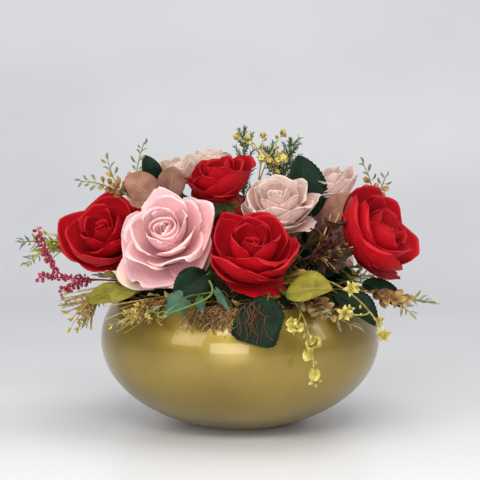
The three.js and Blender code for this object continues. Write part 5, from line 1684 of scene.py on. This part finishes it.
def rim_leaf_patches():
    """Short-stemmed scraps of leaf, green and dried, that hide the foam's edge under the blooms."""
    random = np.random.default_rng(31)
    patches = []
    for i in range(RIM_SCRAPS):
        mouth, out = footing((math.degrees(i * GOLDEN_TURN), random.uniform(8, 35)))
        flat = unit(out * [1, 1, 0])
        across = np.cross(UP, flat)
        base = mouth + out * random.uniform(3, 18)
        way = unit(flat + UP * random.uniform(-0.3, 0.45) + across * random.normal() * 0.5)
        long = random.uniform(20, 33)
        tip = base + way * long
        far = np.hypot(tip[0], tip[1])
        tip[:2] *= min(1.0, SCRAPS_REACH / far)
        tip[2] = max(tip[2], LOWEST_INSIDE if far < HANG_FROM else LOWEST_PAST)
        face = unit(UP + flat * 0.5 + across * random.normal() * 0.4)
        middle = (base + tip) / 2 + face * 4
        if pokes_a_bloom(bezier([base, middle, tip], np.linspace(0, 1, 8))):
            continue
        stalk = tube([mouth - out * 2, lerp(mouth, base, 0.5), base], SCRAP_STALK, tone=-0.2)
        patches.append((stalk, STALK_MATERIAL))
        kind = int(random.choice(4, p=SCRAP_SHARES))
        grid = scrap_grid(kind, base, tip, face, long, random)
        along = np.linspace(-0.1, 0.2, len(grid))[:, None]
        reach = np.clip(random.uniform(0.1, 0.7) + along, 0, 1)
        leaf = thick_sheet(grid, LEAF_THICKNESS, tone=random.uniform(-0.25, 0.1), reach=reach)
        patches.append((leaf, SCRAP_MATERIALS[kind]))
    return patches


scraps = [dark_leaf[0], olive_leaf[0], golden_spray[0], stem_green[0], dried_grass[0]]
made = piece("rim_leaves", rim_leaf_patches(), scraps)


MOSS_FIBRES = 560
# The foam's side, from the middle of its underside up: radius and height.
FOAM_SIDE = [
    (0, 2.4),
    (20, 2.4),
    (38, 2.4),
    (56, 10),
    (70, 22),
    (79, 40),
    (84, 60),
    (86, 78),
    (87, 90),
]


def foam_patches():
    """The foam's block in the bowl (0), with moss pressed over its dome (1)."""
    random = np.random.default_rng(9)
    profile = list(FOAM_SIDE)
    for elevation in np.linspace(3, 88, 24):
        e = math.radians(elevation)
        reach = 1 / math.hypot(math.cos(e) / FOAM_RADIUS, math.sin(e) / FOAM_RISE)
        profile.append((reach * math.cos(e), FOCUS[2] + reach * math.sin(e)))
    profile.append((0, FOCUS[2] + FOAM_RISE))
    points, faces, values = turned_solid(profile, 120)
    away = unit(points - FOCUS)
    bump = lumps(points, 12, 5, 5) + lumps(points, 5, 3, 6)
    points += away * (bump * smoothstep(points[:, 2], 104, 116))[:, None]
    # The moss is drawn darker where the lumps sink and lighter where they rise: painted shade of
    # the lumps.
    values["reach"] = np.clip(0.35 + bump / 8, 0, 1)
    patches = [((points, faces, values), 0)]
    lowest = math.sin(math.radians(16))
    for _ in range(MOSS_FIBRES):
        azimuth = random.uniform(0, 360)
        elevation = math.degrees(math.asin(random.uniform(lowest, 1)))
        mouth, out = footing((azimuth, elevation))
        way = unit(np.cross(out, random.normal(size=3)))
        fibre = strand(mouth + out * 1.5, way, out, random, random.uniform(9, 24), 0.9)
        patches.append((fibre, 1))
    return patches


made = piece("mossed_foam", foam_patches(), [foam_moss[0], wood_wool[0]], "floral_foam")

# ---- Room, light and camera ----


FLOOR_REACH = 7.0  # metres to each side and to the front
WALL_FOOT = 0.9  # where the floor starts to curve up, behind the object
WALL_CURVE = 0.5
WALL_HEIGHT = 3.5


def floor_and_wall():
    """A table top that curves up into a wall behind the object."""
    profile = [(-FLOOR_REACH, 0.0), (WALL_FOOT, 0.0)]
    for a in np.linspace(0.1, math.pi / 2, 12):
        along = WALL_FOOT + math.sin(a) * WALL_CURVE
        profile.append((along, WALL_CURVE - math.cos(a) * WALL_CURVE))
    profile.append((WALL_FOOT + WALL_CURVE, WALL_HEIGHT))
    points = [(x, y, z) for y, z in profile for x in (-FLOOR_REACH, FLOOR_REACH)]
    faces = [(2 * i, 2 * i + 1, 2 * i + 3, 2 * i + 2) for i in range(len(profile) - 1)]
    mesh = bpy.data.meshes.new("table_and_wall")
    mesh.from_pydata(points, [], faces)
    mesh.polygons.foreach_set("use_smooth", [True] * len(mesh.polygons))
    mesh.materials.append(floor_paint())
    made = bpy.data.objects.new("table_and_wall", mesh)
    bpy.context.scene.collection.objects.link(made)
    return made


def soft_light(name, place, aim, size, watts, colour):
    """A soft box at a place, turned to its aim, with its width and height in metres."""
    data = bpy.data.lights.new(name, "AREA")
    data.shape = "RECTANGLE"
    data.size, data.size_y = size
    data.energy = watts
    data.color = linear(colour)[:3]
    made = bpy.data.objects.new(name, data)
    made.location = place
    made.rotation_euler = (Vector(aim) - Vector(place)).to_track_quat("-Z", "Y").to_euler()
    bpy.context.scene.collection.objects.link(made)
    return made


world = bpy.data.worlds.new("pale_room")
bpy.context.scene.world = world
world.use_nodes = True
world.node_tree.nodes["Background"].inputs["Color"].default_value = linear("#e3e6ea")
world.node_tree.nodes["Background"].inputs["Strength"].default_value = 0.43

# Colours are shown as they are, so that the dyed reds and pinks keep their strength.
bpy.context.scene.view_settings.view_transform = "Standard"

floor_and_wall()
soft_light("window_left", (-1.2, -1.3, 0.95), (0, 0, 0.12), (0.9, 1.1), 10, "#ffffff")
soft_light("window_behind", (-0.35, -2.4, 0.44), (0, 0, 0.1), (1.3, 0.8), 19, "#fbfcff")
soft_light("table_lamp", (-0.03, -0.72, 0.6), (-0.03, -0.6, 0), (0.5, 0.3), 3.6, "#fffdf6")
soft_light("window_right", (1.5, -0.7, 0.9), (0, 0, 0.12), (0.5, 0.9), 5, "#f6f8ff")
soft_light("ceiling", (0.3, -0.1, 1.9), (0.05, 0, 0.1), (1.6, 1.2), 16, "#fffaf2")

LOOKS_DOWN = 4  # degrees
camera_data = bpy.data.cameras.new("camera")
camera_data.lens = 96.4
camera_data.sensor_width = 36
camera = bpy.data.objects.new("camera", camera_data)
camera.location = (0, -1.2, 0.255)
camera.rotation_euler = (math.radians(90 - LOOKS_DOWN), 0, 0)
bpy.context.scene.collection.objects.link(camera)
bpy.context.scene.camera = camera
